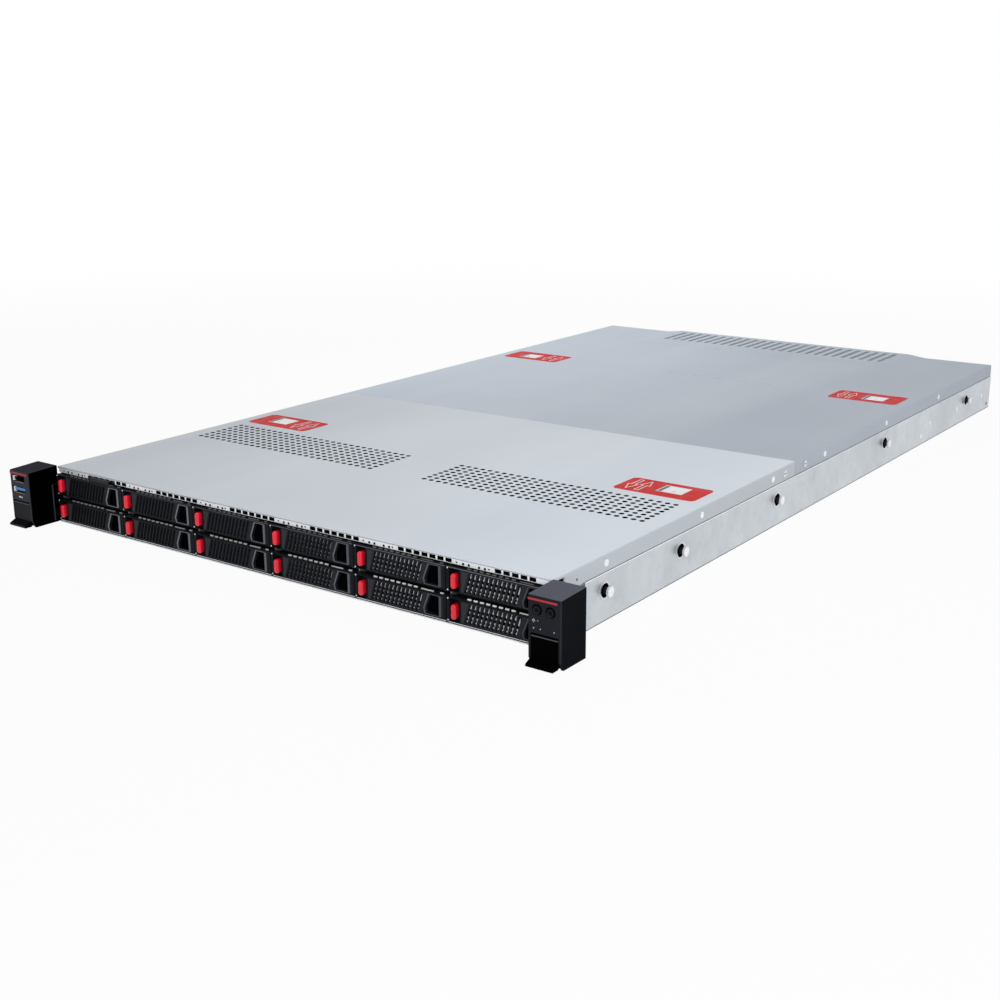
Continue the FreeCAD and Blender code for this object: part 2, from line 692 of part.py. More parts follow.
def rear_panel():
    """Rear wall with its sockets and the blank covers of two expansion slots."""
    windows = rear_windows()
    pieces = rear_wall(windows)
    pieces.extend(network_jack(windows["network_one"]))
    pieces.extend(network_jack(windows["network_two"]))
    pieces.append(usb_pair(windows["usb_pair"]))
    pieces.append(video_socket(windows["video"]))
    pieces.append(slot_cover(windows["upper_slot"]))
    pieces.append(slot_cover(windows["lower_slot"]))
    return publish("rear_panel", group("rear_panel", pieces))


# ---------------------------------------------------------------- drive cage and strip

def drive_cage():
    """Upright dividers between the columns, below and above one shelf."""
    shelf_foot = SHELF_TOP + " - shelf_sheet"
    pieces = [box("cage_shelf", ("-" + UPPER_INSIDE, "wall_start", shelf_foot),
                  (UPPER_INSIDE, "cage_depth", SHELF_TOP))]
    for column in range(1, int(VALUE["bay_columns"])):
        middle = "%s + %d * bay_pitch" % (BAYS_LEFT, column)
        for low, high in (("tray_sheet", shelf_foot), (SHELF_TOP, WALL_TOP + " - strip_sheet")):
            pieces.append(box("cage_divider", (middle + " - divider / 2", "wall_start", low),
                              (middle + " + divider / 2", "cage_depth", high)))
    return publish("drive_cage", group("drive_cage", pieces))


def bay_strip():
    """Perforated strip over the bays, with a flange under the front cover."""
    body = new_body("strip")
    top = WALL_TOP
    pad(body, "YZ", "-" + UPPER_INSIDE, "2 * " + UPPER_INSIDE,
        [("0", "strip_bottom"), ("strip_sheet", "strip_bottom"), ("strip_sheet", top + " - strip_sheet"),
         ("strip_flange", top + " - strip_sheet"), ("strip_flange", top), ("0", top)])
    slot_left = "%s + strip_slot_first" % BAYS_LEFT
    slot_top = "strip_slot_base + strip_slot_height"
    slot = pocket(body, "XZ", "-strip_sheet", "2 * strip_sheet",
                  rectangle(slot_left, slot_left + " + strip_slot_width", "strip_slot_base", slot_top))
    repeat(body, slot, ("H_Axis", "strip_slots", "strip_slot_pitch"),
           ("H_Axis", "bay_columns - 1", "bay_pitch"))
    last_left = "%s + (bay_columns - 1) * bay_pitch" % slot_left
    last = pocket(body, "XZ", "-strip_sheet", "2 * strip_sheet",
                  rectangle(last_left, last_left + " + strip_slot_width", "strip_slot_base", slot_top))
    repeat(body, last, ("H_Axis", "strip_last_slots", "strip_slot_pitch"))
    gap_left = "%s + tab_gap_start" % BAYS_LEFT
    gap_right = gap_left + " + tab_gap_width"
    pocket(body, "XZ", "-strip_sheet", "2 * strip_sheet",
           rectangle(gap_left, gap_right, "strip_bottom - beyond", top + " - strip_sheet"))
    body.Tip = body.Group[-1]
    return publish("bay_strip", body)


def information_tab():
    """Flat tab that draws out of the gap in the strip."""
    left = "%s + tab_gap_start + fit_gap" % BAYS_LEFT
    right = "%s + tab_gap_start + tab_gap_width - fit_gap" % BAYS_LEFT
    tab_top = WALL_TOP + " - strip_sheet - fit_gap"
    body = new_body("tab")
    pad(body, "XZ", "0", "tab_length", rectangle(left, right, tab_top + " - tab_sheet", tab_top))
    grip_foot = "row_base + row_pitch + bezel_height + fit_gap"
    grip_left = left + " + tab_grip_inset"
    grip_right = right + " - tab_grip_inset"
    pad(body, "XZ", "-tab_grip", "tab_grip",
        [(grip_left, tab_top), (grip_left + " + tab_grip_taper", grip_foot),
         (grip_right + " - tab_grip_taper", grip_foot), (grip_right, tab_top)])
    return publish("information_tab", body)


# ---------------------------------------------------------------- covers

def cover(name, front, rear, flange_start):
    """Channel shaped cover between two levels along Y."""
    body = new_body(name + "_sheet")
    inner = FLANGE + " - cover_sheet"
    channel = [(FLANGE, FLANGE_FOOT), (FLANGE, "chassis_height"), ("-" + FLANGE, "chassis_height"),
               ("-" + FLANGE, FLANGE_FOOT), ("-(%s)" % inner, FLANGE_FOOT),
               ("-(%s)" % inner, COVER_UNDERSIDE), (inner, COVER_UNDERSIDE), (inner, FLANGE_FOOT)]
    pad(body, "XZ", front, "%s - (%s)" % (rear, front), channel)
    soften(body, "Fillet", "cover_bend", "Y",
           lambda point: near(point.z, "chassis_height") and near(abs(point.x), FLANGE))
    if flange_start != front:
        left = rectangle("-(%s) - beyond" % FLANGE, "-(%s) + beyond" % FLANGE, FLANGE_FOOT + " - beyond",
                         COVER_UNDERSIDE + " - cover_bend")
        right = rectangle("%s - beyond" % FLANGE, "%s + beyond" % FLANGE, FLANGE_FOOT + " - beyond",
                          COVER_UNDERSIDE + " - cover_bend")
        pocket(body, "XZ", front + " - beyond", "%s - (%s) + beyond" % (flange_start, front), left, right)
    return body


def latch_windows(body, latch_y):
    windows = []
    for sign in ("-", ""):
        middle = sign + "latch_x"
        windows.append(rectangle(middle + " - latch_width / 2", middle + " + latch_width / 2",
                                 latch_y + " - latch_length / 2", latch_y + " + latch_length / 2"))
    pocket(body, "XY", COVER_UNDERSIDE + " - beyond", "cover_sheet + 2 * beyond", *windows)


def front_cover():
    body = cover("front_cover", "cover_front", "cover_seam - fit_gap / 2", "flange_front")
    latch_windows(body, "latch_front_y")
    return publish("front_cover", body)


def rear_cover():
    """Rear cover with a raised, louvred panel at its rear edge."""
    body = cover("rear_cover", "cover_seam + fit_gap / 2", "chassis_depth", "cover_seam + fit_gap / 2")
    latch_windows(body, "latch_rear_y")
    rise = [("hump_centre - hump_foot / 2", COVER_UNDERSIDE),
            ("hump_centre - hump_foot / 2", "chassis_height"),
            ("hump_centre - hump_crest / 2", "chassis_height + hump_rise"),
            ("hump_centre + hump_crest / 2", "chassis_height + hump_rise"),
            ("hump_centre + hump_foot / 2", "chassis_height"),
            ("hump_centre + hump_foot / 2", COVER_UNDERSIDE)]
    pad(body, "XZ", "chassis_depth - hump_length", "hump_length", rise)
    cut_ramp(body)
    left = "hump_centre - hump_foot / 2 + hump_wall"
    right = "hump_centre + hump_foot / 2 - hump_wall"
    crest = COVER_UNDERSIDE + " + hump_rise"
    hollow = [(left, COVER_UNDERSIDE + " - beyond"), (left, COVER_UNDERSIDE),
              ("hump_centre - hump_crest / 2", crest), ("hump_centre + hump_crest / 2", crest),
              (right, COVER_UNDERSIDE), (right, COVER_UNDERSIDE + " - beyond")]
    pocket(body, "XZ", "chassis_depth - hump_length + hump_ramp + cover_sheet", "hump_length - hump_ramp",
           hollow)
    left = "hump_centre - (louvre_count - 1) * louvre_pitch / 2 - louvre_width / 2"
    back = "chassis_depth - louvre_margin"
    slot = pocket(body, "XY", "chassis_height", "hump_rise + beyond",
                  rectangle(left, left + " + louvre_width", back + " - louvre_length", back))
    repeat(body, slot, ("H_Axis", "louvre_count", "louvre_pitch"))
    body.Tip = body.Group[-1]
    return publish("rear_cover", body)


def cut_ramp(body):
    """Slope the front of the raised panel."""
    front = "chassis_depth - hump_length"
    crest = "chassis_height + hump_rise"
    pocket(body, "YZ", "hump_centre - hump_foot", "2 * hump_foot",
           [(front + " - beyond", "chassis_height"), (front, "chassis_height"),
            (front + " + hump_ramp", crest), (front + " + hump_ramp", crest + " + beyond"),
            (front + " - beyond", crest + " + beyond")])


def cover_latch(name, sign, latch_y):
    """Sprung plate in a cover window: pressed down to free the cover."""
    def about(half_width, half_length):
        return rectangle("%slatch_x - (%s)" % (sign, half_width), "%slatch_x + %s" % (sign, half_width),
                         "%s - (%s)" % (latch_y, half_length), "%s + %s" % (latch_y, half_length))

    body = new_body(name + "_plate")
    pad(body, "XY", "chassis_height - latch_plate", "latch_plate",
        about("latch_width / 2 - fit_gap", "latch_length / 2 - fit_gap"))
    pad(body, "XY", "chassis_height - latch_plate - latch_stem", "latch_stem + latch_plate / 2",
        about("latch_stem_width / 2", "latch_stem_width / 2"))
    pocket(body, "XY", "chassis_height - latch_plate / 2", "latch_plate",
           ring("%s(latch_x + latch_lock_x)" % sign, latch_y + " - latch_lock_y", "latch_lock_hole / 2", 10))
    return publish(name, body)


# ---------------------------------------------------------------- drive carriers

def carrier_master():
    """Bezel frame, sheet metal sled, hinge pin and the drive, in the first bay's own place."""
    right = "bay_pitch - bezel_gap / 2"
    left = "bezel_gap / 2"
    frame = new_body("carrier_frame")
    pad(frame, "XZ", "-bezel_front", "bezel_front + bezel_back",
        rectangle(left, right, "0", "bezel_height"))
    soften(frame, "Chamfer", "bezel_rail / 2", "Z",
           lambda point: near(point.y, "-bezel_front") and near(point.x, left)
           or near(point.y, "-bezel_front") and near(point.x, right))
    pocket(frame, "XZ", "-bezel_front - beyond", "bezel_front + bezel_back + 2 * beyond",
           rectangle("button_bay_start", "button_bay_end", "bezel_rail", "bezel_height - bezel_rail"),
           rectangle("button_bay_end + bezel_post", "hinge_post", "bezel_rail",
                     "bezel_height - bezel_rail"))
    sled_left = "bay_pitch / 2 - drive_width / 2 - sled_wall"
    sled_right = "bay_pitch / 2 + drive_width / 2 + sled_wall"
    floor_low = "-sled_drop - sled_base"
    inner_left = sled_left + " + sled_wall"
    inner_right = sled_right + " - sled_wall"
    channel = [(sled_left, floor_low), (sled_right, floor_low), (sled_right, "sled_wall_height"),
               (inner_right, "sled_wall_height"), (inner_right, "-sled_drop"), (inner_left, "-sled_drop"),
               (inner_left, "sled_wall_height"), (sled_left, "sled_wall_height")]
    pad(frame, "XZ", "bezel_back", "sled_length - bezel_back", channel)
    pad(frame, "XZ", "bezel_back", "sled_base",
        rectangle(sled_left, sled_right, floor_low, "bezel_height - bezel_rail / 2"))
    pin = rod("carrier_pin", "Z", ("handle_pivot_x", "-handle_pivot_y", "bezel_rail"), "handle_pin",
              "bezel_height - 2 * bezel_rail", 8)
    whole = fuse("carrier_frame_with_pin", [frame, pin])
    drive = box("drive", ("bay_pitch / 2 - drive_width / 2", "drive_front", "-sled_drop"),
                ("bay_pitch / 2 + drive_width / 2", "drive_front + drive_length",
                 "drive_height - sled_drop"))
    return [whole, drive]


def handle_master():
    """Grille handle with leaning slots and a grip window, rounded about its hinge pin."""
    low = "bezel_rail + fit_gap"
    high = "bezel_height - bezel_rail - fit_gap"
    front = "-handle_pivot_y - handle_thickness / 2"
    left = "button_bay_end + bezel_post + fit_gap"
    body = new_body("handle")
    pad(body, "XZ", front, "handle_thickness", rectangle(left, "handle_pivot_x", low, high))
    pad(body, "XY", low, "%s - (%s)" % (high, low),
        ("handle_pivot_x", "-handle_pivot_y", "handle_thickness / 2"))
    foot = low + " + slot_margin"
    head = high + " - slot_margin"
    slot = pocket(body, "XZ", front + " - beyond", "handle_thickness + 2 * beyond",
                  [("slot_start", foot), ("slot_start + slot_width", foot),
                   ("slot_start + slot_width + slot_lean", head), ("slot_start + slot_lean", head)])
    repeat(body, slot, ("H_Axis", "slot_count", "slot_pitch"))
    pocket(body, "XZ", front + " - beyond", "handle_thickness + 2 * beyond",
           [("window_foot", foot), ("window_right", foot), ("window_right", head), ("window_head", head),
            ("window_left", "window_waist")])
    pocket(body, "XY", low + " - beyond", "%s - (%s) + 2 * beyond" % (high, low),
           ring("handle_pivot_x", "-handle_pivot_y", "handle_pin + handle_pin_play", 8))
    return body


def button_master():
    """Red release button with its upper left corner cut off."""
    right = "button_bay_end - fit_gap"
    left = "%s - button_width" % right
    foot = "button_base"
    head = "button_base + button_height"
    body = new_body("release_button")
    pad(body, "XZ", "-bezel_front - button_reach", "button_reach + button_inside",
        [(left, foot), (right, foot), (right, head), (left + " + button_slant", head),
         (left, head + " - button_slant")])
    soften(body, "Chamfer", "button_width / 6", "XZ",
           lambda point: near(point.y, "-bezel_front - button_reach"))
    return body


def bay_name(column, row):
    return "%s_%d" % ("lower" if row == 0 else "upper", column + 1)


def drive_bays():
    """A carrier, a handle and a release button for every bay."""
    masters = (("carrier", carrier_master()), ("handle", [handle_master()]),
               ("release_button", [button_master()]))
    for row in range(int(VALUE["bay_rows"])):
        for column in range(int(VALUE["bay_columns"])):
            for word, pieces in masters:
                name = "%s_%s" % (word, bay_name(column, row))
                copy = group(name, pieces)
                move(copy, x="%s + %d * bay_pitch" % (BAYS_LEFT, column),
                     z="row_base + %d * row_pitch" % row)
                publish(name, copy)


def drive_backplane():
    """Upright circuit board behind the drives, one connector to a bay."""
    pieces = [box("backplane_board", ("-" + UPPER_INSIDE, "cage_depth", "backplane_foot"),
                  (UPPER_INSIDE, "cage_depth + backplane_sheet", "backplane_top"))]
    plug_front = "drive_front + drive_length + fit_gap"
    for row in range(int(VALUE["bay_rows"])):
        for column in range(int(VALUE["bay_columns"])):
            middle = "%s + (%d + 0.5) * bay_pitch" % (BAYS_LEFT, column)
            base = "row_base + %d * row_pitch + connector_lift" % row
            top = base + " + connector_height"
            pieces.append(box("connector_" + bay_name(column, row),
                              (middle + " - connector_width / 2", plug_front, base),
                              (middle + " + connector_width / 2", "cage_depth", top)))
    return publish("drive_backplane", fuse("drive_backplane", pieces))


# ---------------------------------------------------------------- rack ears

def ear_places(sign):
    """Inner and outer X of an ear, and the formula that runs outwards from the inner edge."""
    inner = "(ear_span / 2 - ear_width)"
    return lambda offset: "%s(%s + %s)" % (sign, inner, offset)


def span(place, first, last):
    """Low X and length of a stretch between two distances from the ear's inner edge."""
    low = min((first, last), key=lambda offset: number(place(offset)))
    return place(low), "(%s) - (%s)" % (last, first)


def ear(name, sign):
    """Moulded ear: sloping top, chin, a deep notch for the lever and a leg along the chassis."""
    place = ear_places(sign)
    body = new_body(name + "_moulding")
    start, width = span(place, "0", "ear_width")
    pad(body, "YZ", start, width,
        [("0", "ear_bottom"), ("0", "ear_top"), ("-ear_depth", "ear_top - ear_top_drop"),
         ("-ear_depth", "ear_bottom + 2 * ear_chin"), ("-ear_depth + ear_chin", "ear_bottom")])
    soften(body, "Fillet", "ear_round", "Z",
           lambda point: near(point.y, "-ear_depth"))
    start, width = span(place, "ear_cheek", "ear_width - ear_cheek")
    back = "-ear_depth + lever_inset + lever_thickness + fit_gap"
    pocket(body, "YZ", start, width,
           rectangle("-ear_depth - beyond", back, "ear_bottom - beyond", "lever_top + fit_gap"))
    pivot = lever_pivot()
    start, width = span(place, "ear_cheek - lever_pin_length - fit_gap",
                        "ear_width - ear_cheek + lever_pin_length + fit_gap")
    pocket(body, "YZ", start, width, (pivot[0], pivot[1], "lever_pin + lever_pin_play"))
    start, width = span(place, UPPER_SIDE + " - (ear_span / 2 - ear_width)", "0")
    pad(body, "YZ", start, width,
        rectangle("-ear_leg_reach", "ear_leg_seat - fit_gap", "ear_leg_margin",
                  "side_height - ear_leg_margin"))
    return body, place


def lever_pivot():
    """Y and Z of the ear lever's axis."""
    return "-ear_depth + lever_inset + lever_thickness / 2", "lever_top - lever_thickness / 2"


def left_ear():
    """Ear with two USB sockets."""
    body, place = ear("left_ear", "-")
    middle = "-(ear_span / 2) + port_offset"
    openings = []
    tongues = []
    for level in ("port_upper_z", "port_lower_z"):
        openings.append(rectangle(middle + " - port_width / 2", middle + " + port_width / 2",
                                  level + " - port_height / 2", level + " + port_height / 2"))
        tongues.append(rectangle(middle + " - tongue_width / 2", middle + " + tongue_width / 2",
                                 level + " - tongue_height / 2", level + " + tongue_height / 2"))
    pocket(body, "XZ", "-ear_depth - beyond", "port_depth + beyond", *openings)
    pad(body, "XZ", "-ear_depth + tongue_inset", "port_depth - tongue_inset", *tongues)
    return publish("left_ear", body)


def right_ear():
    """Ear with two round front buttons."""
    body, place = ear("right_ear", "")
    holes = [(place(offset), "key_z", "key_radius + fit_gap") for offset in ("key_inner", "key_outer")]
    pocket(body, "XZ", "-ear_depth - beyond", "key_socket + beyond", *holes)
    return publish("right_ear", body)


def front_key(name, offset):
    """Round button with a bevelled rim."""
    place = ear_places("")
    body = new_body(name + "_cap")
    pad(body, "XZ", "-ear_depth - key_rise", "key_length", (place(offset), "key_z", "key_radius"))
    doc.recompute()
    tip = body.Tip
    rim = ["Edge%d" % index for index, edge in enumerate(tip.Shape.Edges, start=1)
           if edge.Closed and near(edge.Vertexes[0].Y, "-ear_depth - key_rise")]
    bevel = body.newObject("PartDesign::Chamfer", body.Name + "_rim")
    bevel.Base = (tip, rim)
    bevel.setExpression("Size", cell("key_rise"))
    return publish(name, body)


def ear_lever(name, sign):
    """Lever with a finger lip, rounded about its pivot, turning on two stub pins."""
    place = ear_places(sign)
    pivot = lever_pivot()
    front = "-ear_depth + lever_inset"
    back = front + " + lever_thickness"
    body = new_body(name + "_plate")
    start, width = span(place, "ear_cheek + fit_gap", "ear_width - ear_cheek - fit_gap")
    pad(body, "YZ", start, width,
        [(front, pivot[1]), (front, "lever_lip_top"), ("-ear_depth - lever_lip", "lever_lip_edge"),
         ("-ear_depth - lever_lip", "lever_base"), (front, "lever_base"), (back, "lever_lip_top"),
         (back, pivot[1])])
    pad(body, "YZ", start, width, (pivot[0], pivot[1], "lever_thickness / 2"))
    start, width = span(place, "ear_cheek - lever_pin_length", "ear_width - ear_cheek + lever_pin_length")
    pad(body, "YZ", start, width, (pivot[0], pivot[1], "lever_pin"))
    return publish(name, body)


# ---------------------------------------------------------------- rail studs

# Studs along the side, as fractions of the chassis depth.
STUD_PLACES = (0.0703, 0.1894, 0.3737, 0.6411, 0.9066)


def rail_studs():
    """Headed studs on both side panels, which the rack rails catch."""
    studs = []
    for side, outer in (("left", "-%s - stud_reach" % SIDE), ("right", SIDE)):
        head_start = outer if side == "left" else outer + " + stud_reach - stud_head_thickness"
        for index, fraction in enumerate(STUD_PLACES, start=1):
            name = "stud_%s_%d" % (side, index)
            along = "%s * chassis_depth" % fraction
            neck = rod(name + "_neck", "X", (outer, along, "stud_z"), "stud_neck", "stud_reach", 12)
            head = rod(name + "_head", "X", (head_start, along, "stud_z"), "stud_head",
                       "stud_head_thickness", 12)
            studs.append(fuse(name, [neck, head]))
    return publish("rail_studs", group("rail_studs", studs))


# ---------------------------------------------------------------- inside

def fan_row():
    """Axial fans side by side: square frames, each with its rotor and rear strut."""
    low = "tray_sheet"
    middle = "tray_sheet + fan_size / 2"
    frame = subtract("fan_frame", box("fan_block", ("-fan_size / 2", "fan_front", low),
                                      ("fan_size / 2", "fan_front + fan_depth", low + " + fan_size")),
                     rod("fan_bore", "Y", ("0", "fan_front - beyond", middle), "fan_bore",
                         "fan_depth + 2 * beyond", 16))
    strut = box("fan_strut",
                ("-fan_size / 2", "fan_front + fan_depth - fan_strut", middle + " - fan_strut / 2"),
                ("fan_size / 2", "fan_front + fan_depth", middle + " + fan_strut / 2"))
    housing = fuse("fan_housing", [frame, strut])
    rotor_start = "fan_front + fan_inset"
    rotor_length = "fan_depth - fan_strut - fan_inset - fan_tip_gap"
    blades = [rod("fan_hub", "Y", ("0", rotor_start, middle), "fan_hub", rotor_length, 12)]
    for index in range(int(VALUE["fan_blades"])):
        blade = doc.addObject("Part::Box", "fan_blade")
        blade.setExpression("Length", cell("fan_bore - fan_tip_gap"))
        blade.setExpression("Width", cell(rotor_length))
        blade.setExpression("Height", cell("fan_blade"))
        turn = FreeCAD.Rotation(FreeCAD.Vector(0, 1, 0), 360.0 * index / VALUE["fan_blades"])
        blade.Placement = FreeCAD.Placement(FreeCAD.Vector(), turn)
        blades.append(move(blade, x="0", y=rotor_start, z=middle))
    rotor = fuse("fan_rotor", blades)
    pieces = []
    for index in range(int(VALUE["fan_count"])):
        fan = group("fan_%d" % (index + 1), [housing, rotor])
        pieces.append(move(fan, x="(%d - (fan_count - 1) / 2) * fan_pitch" % index))
    return publish("fan_row", group("fan_row", pieces))


def main_board():
    """Circuit board on standoffs, with its memory modules."""
    top = "tray_sheet + board_lift + board_sheet"
    rear = "board_front + board_length"
    edge = "(board_width / 2 - standoff_margin)"
    pieces = [box("board", ("-board_width / 2", "board_front", "tray_sheet + board_lift"),
                  ("board_width / 2", rear, top))]
    for across in ("-" + edge, "0", edge):
        for along in ("board_front + standoff_margin", rear + " - standoff_margin"):
            pieces.append(rod("standoff", "Z", (across, along, "tray_sheet"), "standoff_radius",
                              "board_lift", 6))
    for bank in ("-cooler_x", "cooler_x"):
        for side in (-1, 1):
            for index in range(int(VALUE["memory_count"])):
                reach = "(cooler_width / 2 + memory_start + %d * memory_pitch)" % index
                middle = "%s + %d * %s" % (bank, side, reach)
                pieces.append(box("memory_module", (middle + " - memory_sheet / 2", "cooler_y", top),
                                  (middle + " + memory_sheet / 2", "cooler_y + memory_length",
                                   top + " + memory_height")))
    return publish("main_board", group("main_board", pieces))


def processor_coolers():
    """Two finned coolers."""
    pieces = []
    base = "tray_sheet + board_lift + board_sheet"
    for name, middle in (("left_cooler", "-cooler_x"), ("right_cooler", "cooler_x")):
        body = new_body(name)
        left = "%s - cooler_width / 2" % middle
        pad(body, "XZ", "cooler_y", "cooler_length",
            rectangle(left, left + " + cooler_width", base, base + " + cooler_height"))
        fin = "(cooler_width - cooler_fins * cooler_groove) / (cooler_fins + 1)"
        first = "%s + %s" % (left, fin)
        groove = pocket(body, "XZ", "cooler_y - beyond", "cooler_length + 2 * beyond",
                        rectangle(first, first + " + cooler_groove", base + " + cooler_base",
                                  base + " + cooler_height + beyond"))
        repeat(body, groove, ("H_Axis", "cooler_fins", "(%s + cooler_groove)" % fin))
        pieces.append(body)
    return publish("processor_coolers", group("processor_coolers", pieces))


def power_supply(name, index):
    """Slide-in power supply with an inlet and a pull handle at the rear."""
    left = "%s + %d * %s" % (SUPPLY_OUTER, index, SUPPLY_STEP)
    base = "tray_sheet + fit_gap"
    body = new_body(name + "_case")
    pad(body, "XZ", SUPPLY_FRONT, "supply_length",
        rectangle(left, left + " + supply_width", base, base + " + supply_height"))
    inlet_left = left + " + inlet_offset"
    inlet_base = base + " + inlet_lift"
    pocket(body, "XZ", "chassis_depth - inlet_depth", "inlet_depth",
           rectangle(inlet_left, inlet_left + " + inlet_width", inlet_base, inlet_base + " + inlet_height"))
    pins = []
    for across, rise in (("-pin_spacing", "0"), ("0", "pin_rise"), ("pin_spacing", "0")):
        middle = "%s + inlet_width / 2 + %s" % (inlet_left, across)
        foot = "%s + pin_lift + %s - pin_height / 2" % (inlet_base, rise)
        pins.append(rectangle(middle + " - pin_width / 2", middle + " + pin_width / 2", foot,
                              foot + " + pin_height"))
    pad(body, "XZ", "chassis_depth - inlet_depth", "inlet_depth - pin_inset", *pins)
    near_side = left + " + supply_handle_offset"
    far_side = near_side + " + supply_handle_width"
    end = "chassis_depth + supply_handle_reach"
    pad(body, "XY", base + " + supply_handle_lift", "supply_handle_height",
        [(near_side, "chassis_depth"), (near_side, end), (far_side, end), (far_side, "chassis_depth"),
         (far_side + " - supply_handle_bar", "chassis_depth"),
         (far_side + " - supply_handle_bar", end + " - supply_handle_bar"),
         (near_side + " + supply_handle_bar", end + " - supply_handle_bar"),
         (near_side + " + supply_handle_bar", "chassis_depth")])
    return publish(name, body)


# ---------------------------------------------------------------- whole server

chassis_tray()
rear_panel()
drive_cage()
bay_strip()
information_tab()
front_cover()
rear_cover()
for side, side_sign in (("left", "-"), ("right", "")):
    cover_latch("front_latch_" + side, side_sign, "latch_front_y")
    cover_latch("rear_latch_" + side, side_sign, "latch_rear_y")
    ear_lever(side + "_ear_lever", side_sign)
drive_bays()
drive_backplane()
left_ear()
right_ear()
front_key("power_button", "key_outer")
front_key("locate_button", "key_inner")
rail_studs()
fan_row()
main_board()
processor_coolers()
power_supply("power_supply_1", 0)
power_supply("power_supply_2", 1)
doc.recompute()

for item in doc.Objects:
    if "Invalid" in item.State or "Error" in item.State:
        raise ValueError("%s failed: %s" % (item.Name, item.State))
for feature in CUTS:
    if feature.Shape.Volume >= feature.BaseFeature.Shape.Volume:
        raise ValueError("%s removes nothing" % feature.Name)
for node, piece in NODES.items():
    if piece.Shape.isNull() or not piece.Shape.isValid():
        raise ValueError("%s has no valid shape" % node)

os.makedirs("parts", exist_ok=True)
for node, piece in NODES.items():
    piece.Shape.exportStep(os.path.join("parts", node + ".step"))
print("%d nodes, %d solids" % (len(NODES), sum(len(piece.Shape.Solids) for piece in NODES.values())))
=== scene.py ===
import json
import math
import bpy
from mathutils import Matrix, Vector


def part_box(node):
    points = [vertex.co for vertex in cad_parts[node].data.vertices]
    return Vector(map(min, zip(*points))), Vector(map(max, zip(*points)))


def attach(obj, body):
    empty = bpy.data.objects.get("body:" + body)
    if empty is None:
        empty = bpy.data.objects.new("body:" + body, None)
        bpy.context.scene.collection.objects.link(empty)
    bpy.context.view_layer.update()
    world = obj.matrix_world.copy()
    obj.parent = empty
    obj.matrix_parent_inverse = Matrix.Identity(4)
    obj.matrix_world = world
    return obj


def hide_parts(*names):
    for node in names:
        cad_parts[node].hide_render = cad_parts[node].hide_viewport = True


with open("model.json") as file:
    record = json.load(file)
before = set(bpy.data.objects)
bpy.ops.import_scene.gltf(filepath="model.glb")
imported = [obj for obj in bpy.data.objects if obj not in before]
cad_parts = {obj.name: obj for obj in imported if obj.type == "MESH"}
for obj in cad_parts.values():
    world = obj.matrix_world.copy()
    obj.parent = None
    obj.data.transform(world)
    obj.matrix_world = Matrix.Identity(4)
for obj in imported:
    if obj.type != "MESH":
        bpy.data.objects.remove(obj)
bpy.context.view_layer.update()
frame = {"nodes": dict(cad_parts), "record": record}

MM = 0.001
NODES = frame["nodes"]


def corners(node):
    """Lowest and highest corner of a CAD node at rest, in mm."""
    return [Vector(corner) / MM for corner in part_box(node)]


# ---------------------------------------------------------------- materials


def add(tree, kind, values=None, **settings):
    """New shader node with its settings and unlinked input values."""
    item = tree.nodes.new(kind)
    for name, value in settings.items():
        setattr(item, name, value)
    for name, value in (values or {}).items():
        item.inputs[name].default_value = value
    return item


def noise(tree, scale, detail=3.0, stretch=None):
    """Noise fixed to the object; stretch squeezes it along the row axes."""
    place = add(tree, "ShaderNodeTexCoord")
    source = place.outputs["Object"]
    if stretch:
        mapping = add(tree, "ShaderNodeMapping", {"Scale": stretch})
        tree.links.new(source, mapping.inputs["Vector"])
        source = mapping.outputs["Vector"]
    pattern = add(tree, "ShaderNodeTexNoise", {"Scale": scale, "Detail": detail})
    tree.links.new(source, pattern.inputs["Vector"])
    return pattern.outputs["Fac"]


def ranged(tree, source, start, end, low, high):
    """Map a value from start..end to low..high."""
    item = add(tree, "ShaderNodeMapRange",
               {"From Min": start, "From Max": end, "To Min": low, "To Max": high})
    tree.links.new(source, item.inputs["Value"])
    return item.outputs["Result"]


def blended(tree, factor, first, second):
    """Mix of two fixed colours by a factor."""
    mix = add(tree, "ShaderNodeMix", data_type="RGBA")
    mix.inputs["A"].default_value = (*first, 1)
    mix.inputs["B"].default_value = (*second, 1)
    tree.links.new(factor, mix.inputs["Factor"])
    return mix.outputs["Result"]


def part_of(tree, output, axis):
    """One component of the object's own coordinates or normal."""
    place = add(tree, "ShaderNodeTexCoord")
    parts = add(tree, "ShaderNodeSeparateXYZ")
    tree.links.new(place.outputs[output], parts.inputs["Vector"])
    return parts.outputs[axis]


def scaled(tree, colour, amount):
    """Colour times a number, both from other nodes."""
    item = add(tree, "ShaderNodeVectorMath", operation="SCALE")
    tree.links.new(colour, item.inputs["Vector"])
    tree.links.new(amount, item.inputs["Scale"])
    return item.outputs["Vector"]


def paint_face_light(tree, colour, axis, left, right):
    """Painted light: scale the colour on faces that look along an axis (up only, for Z), from
    left to right.
    """
    facing = add(tree, "ShaderNodeMath", operation="MAXIMUM" if axis == "Z" else "ABSOLUTE")
    tree.links.new(part_of(tree, "Normal", axis), facing.inputs[0])
    if axis == "Z":
        facing.inputs[1].default_value = 0.0
    extra = add(tree, "ShaderNodeMath", operation="MULTIPLY_ADD")
    tree.links.new(facing.outputs["Value"], extra.inputs[0])
    across = part_of(tree, "Object", "X")
    tree.links.new(ranged(tree, across, -HALF_WIDTH, HALF_WIDTH, left - 1, right - 1),
                   extra.inputs[1])
    extra.inputs[2].default_value = 1.0
    return scaled(tree, colour, extra.outputs["Value"])


def shade(colour, amount):
    """Lighter or darker fixed colour."""
    return tuple(min(1.0, channel * amount) for channel in colour)


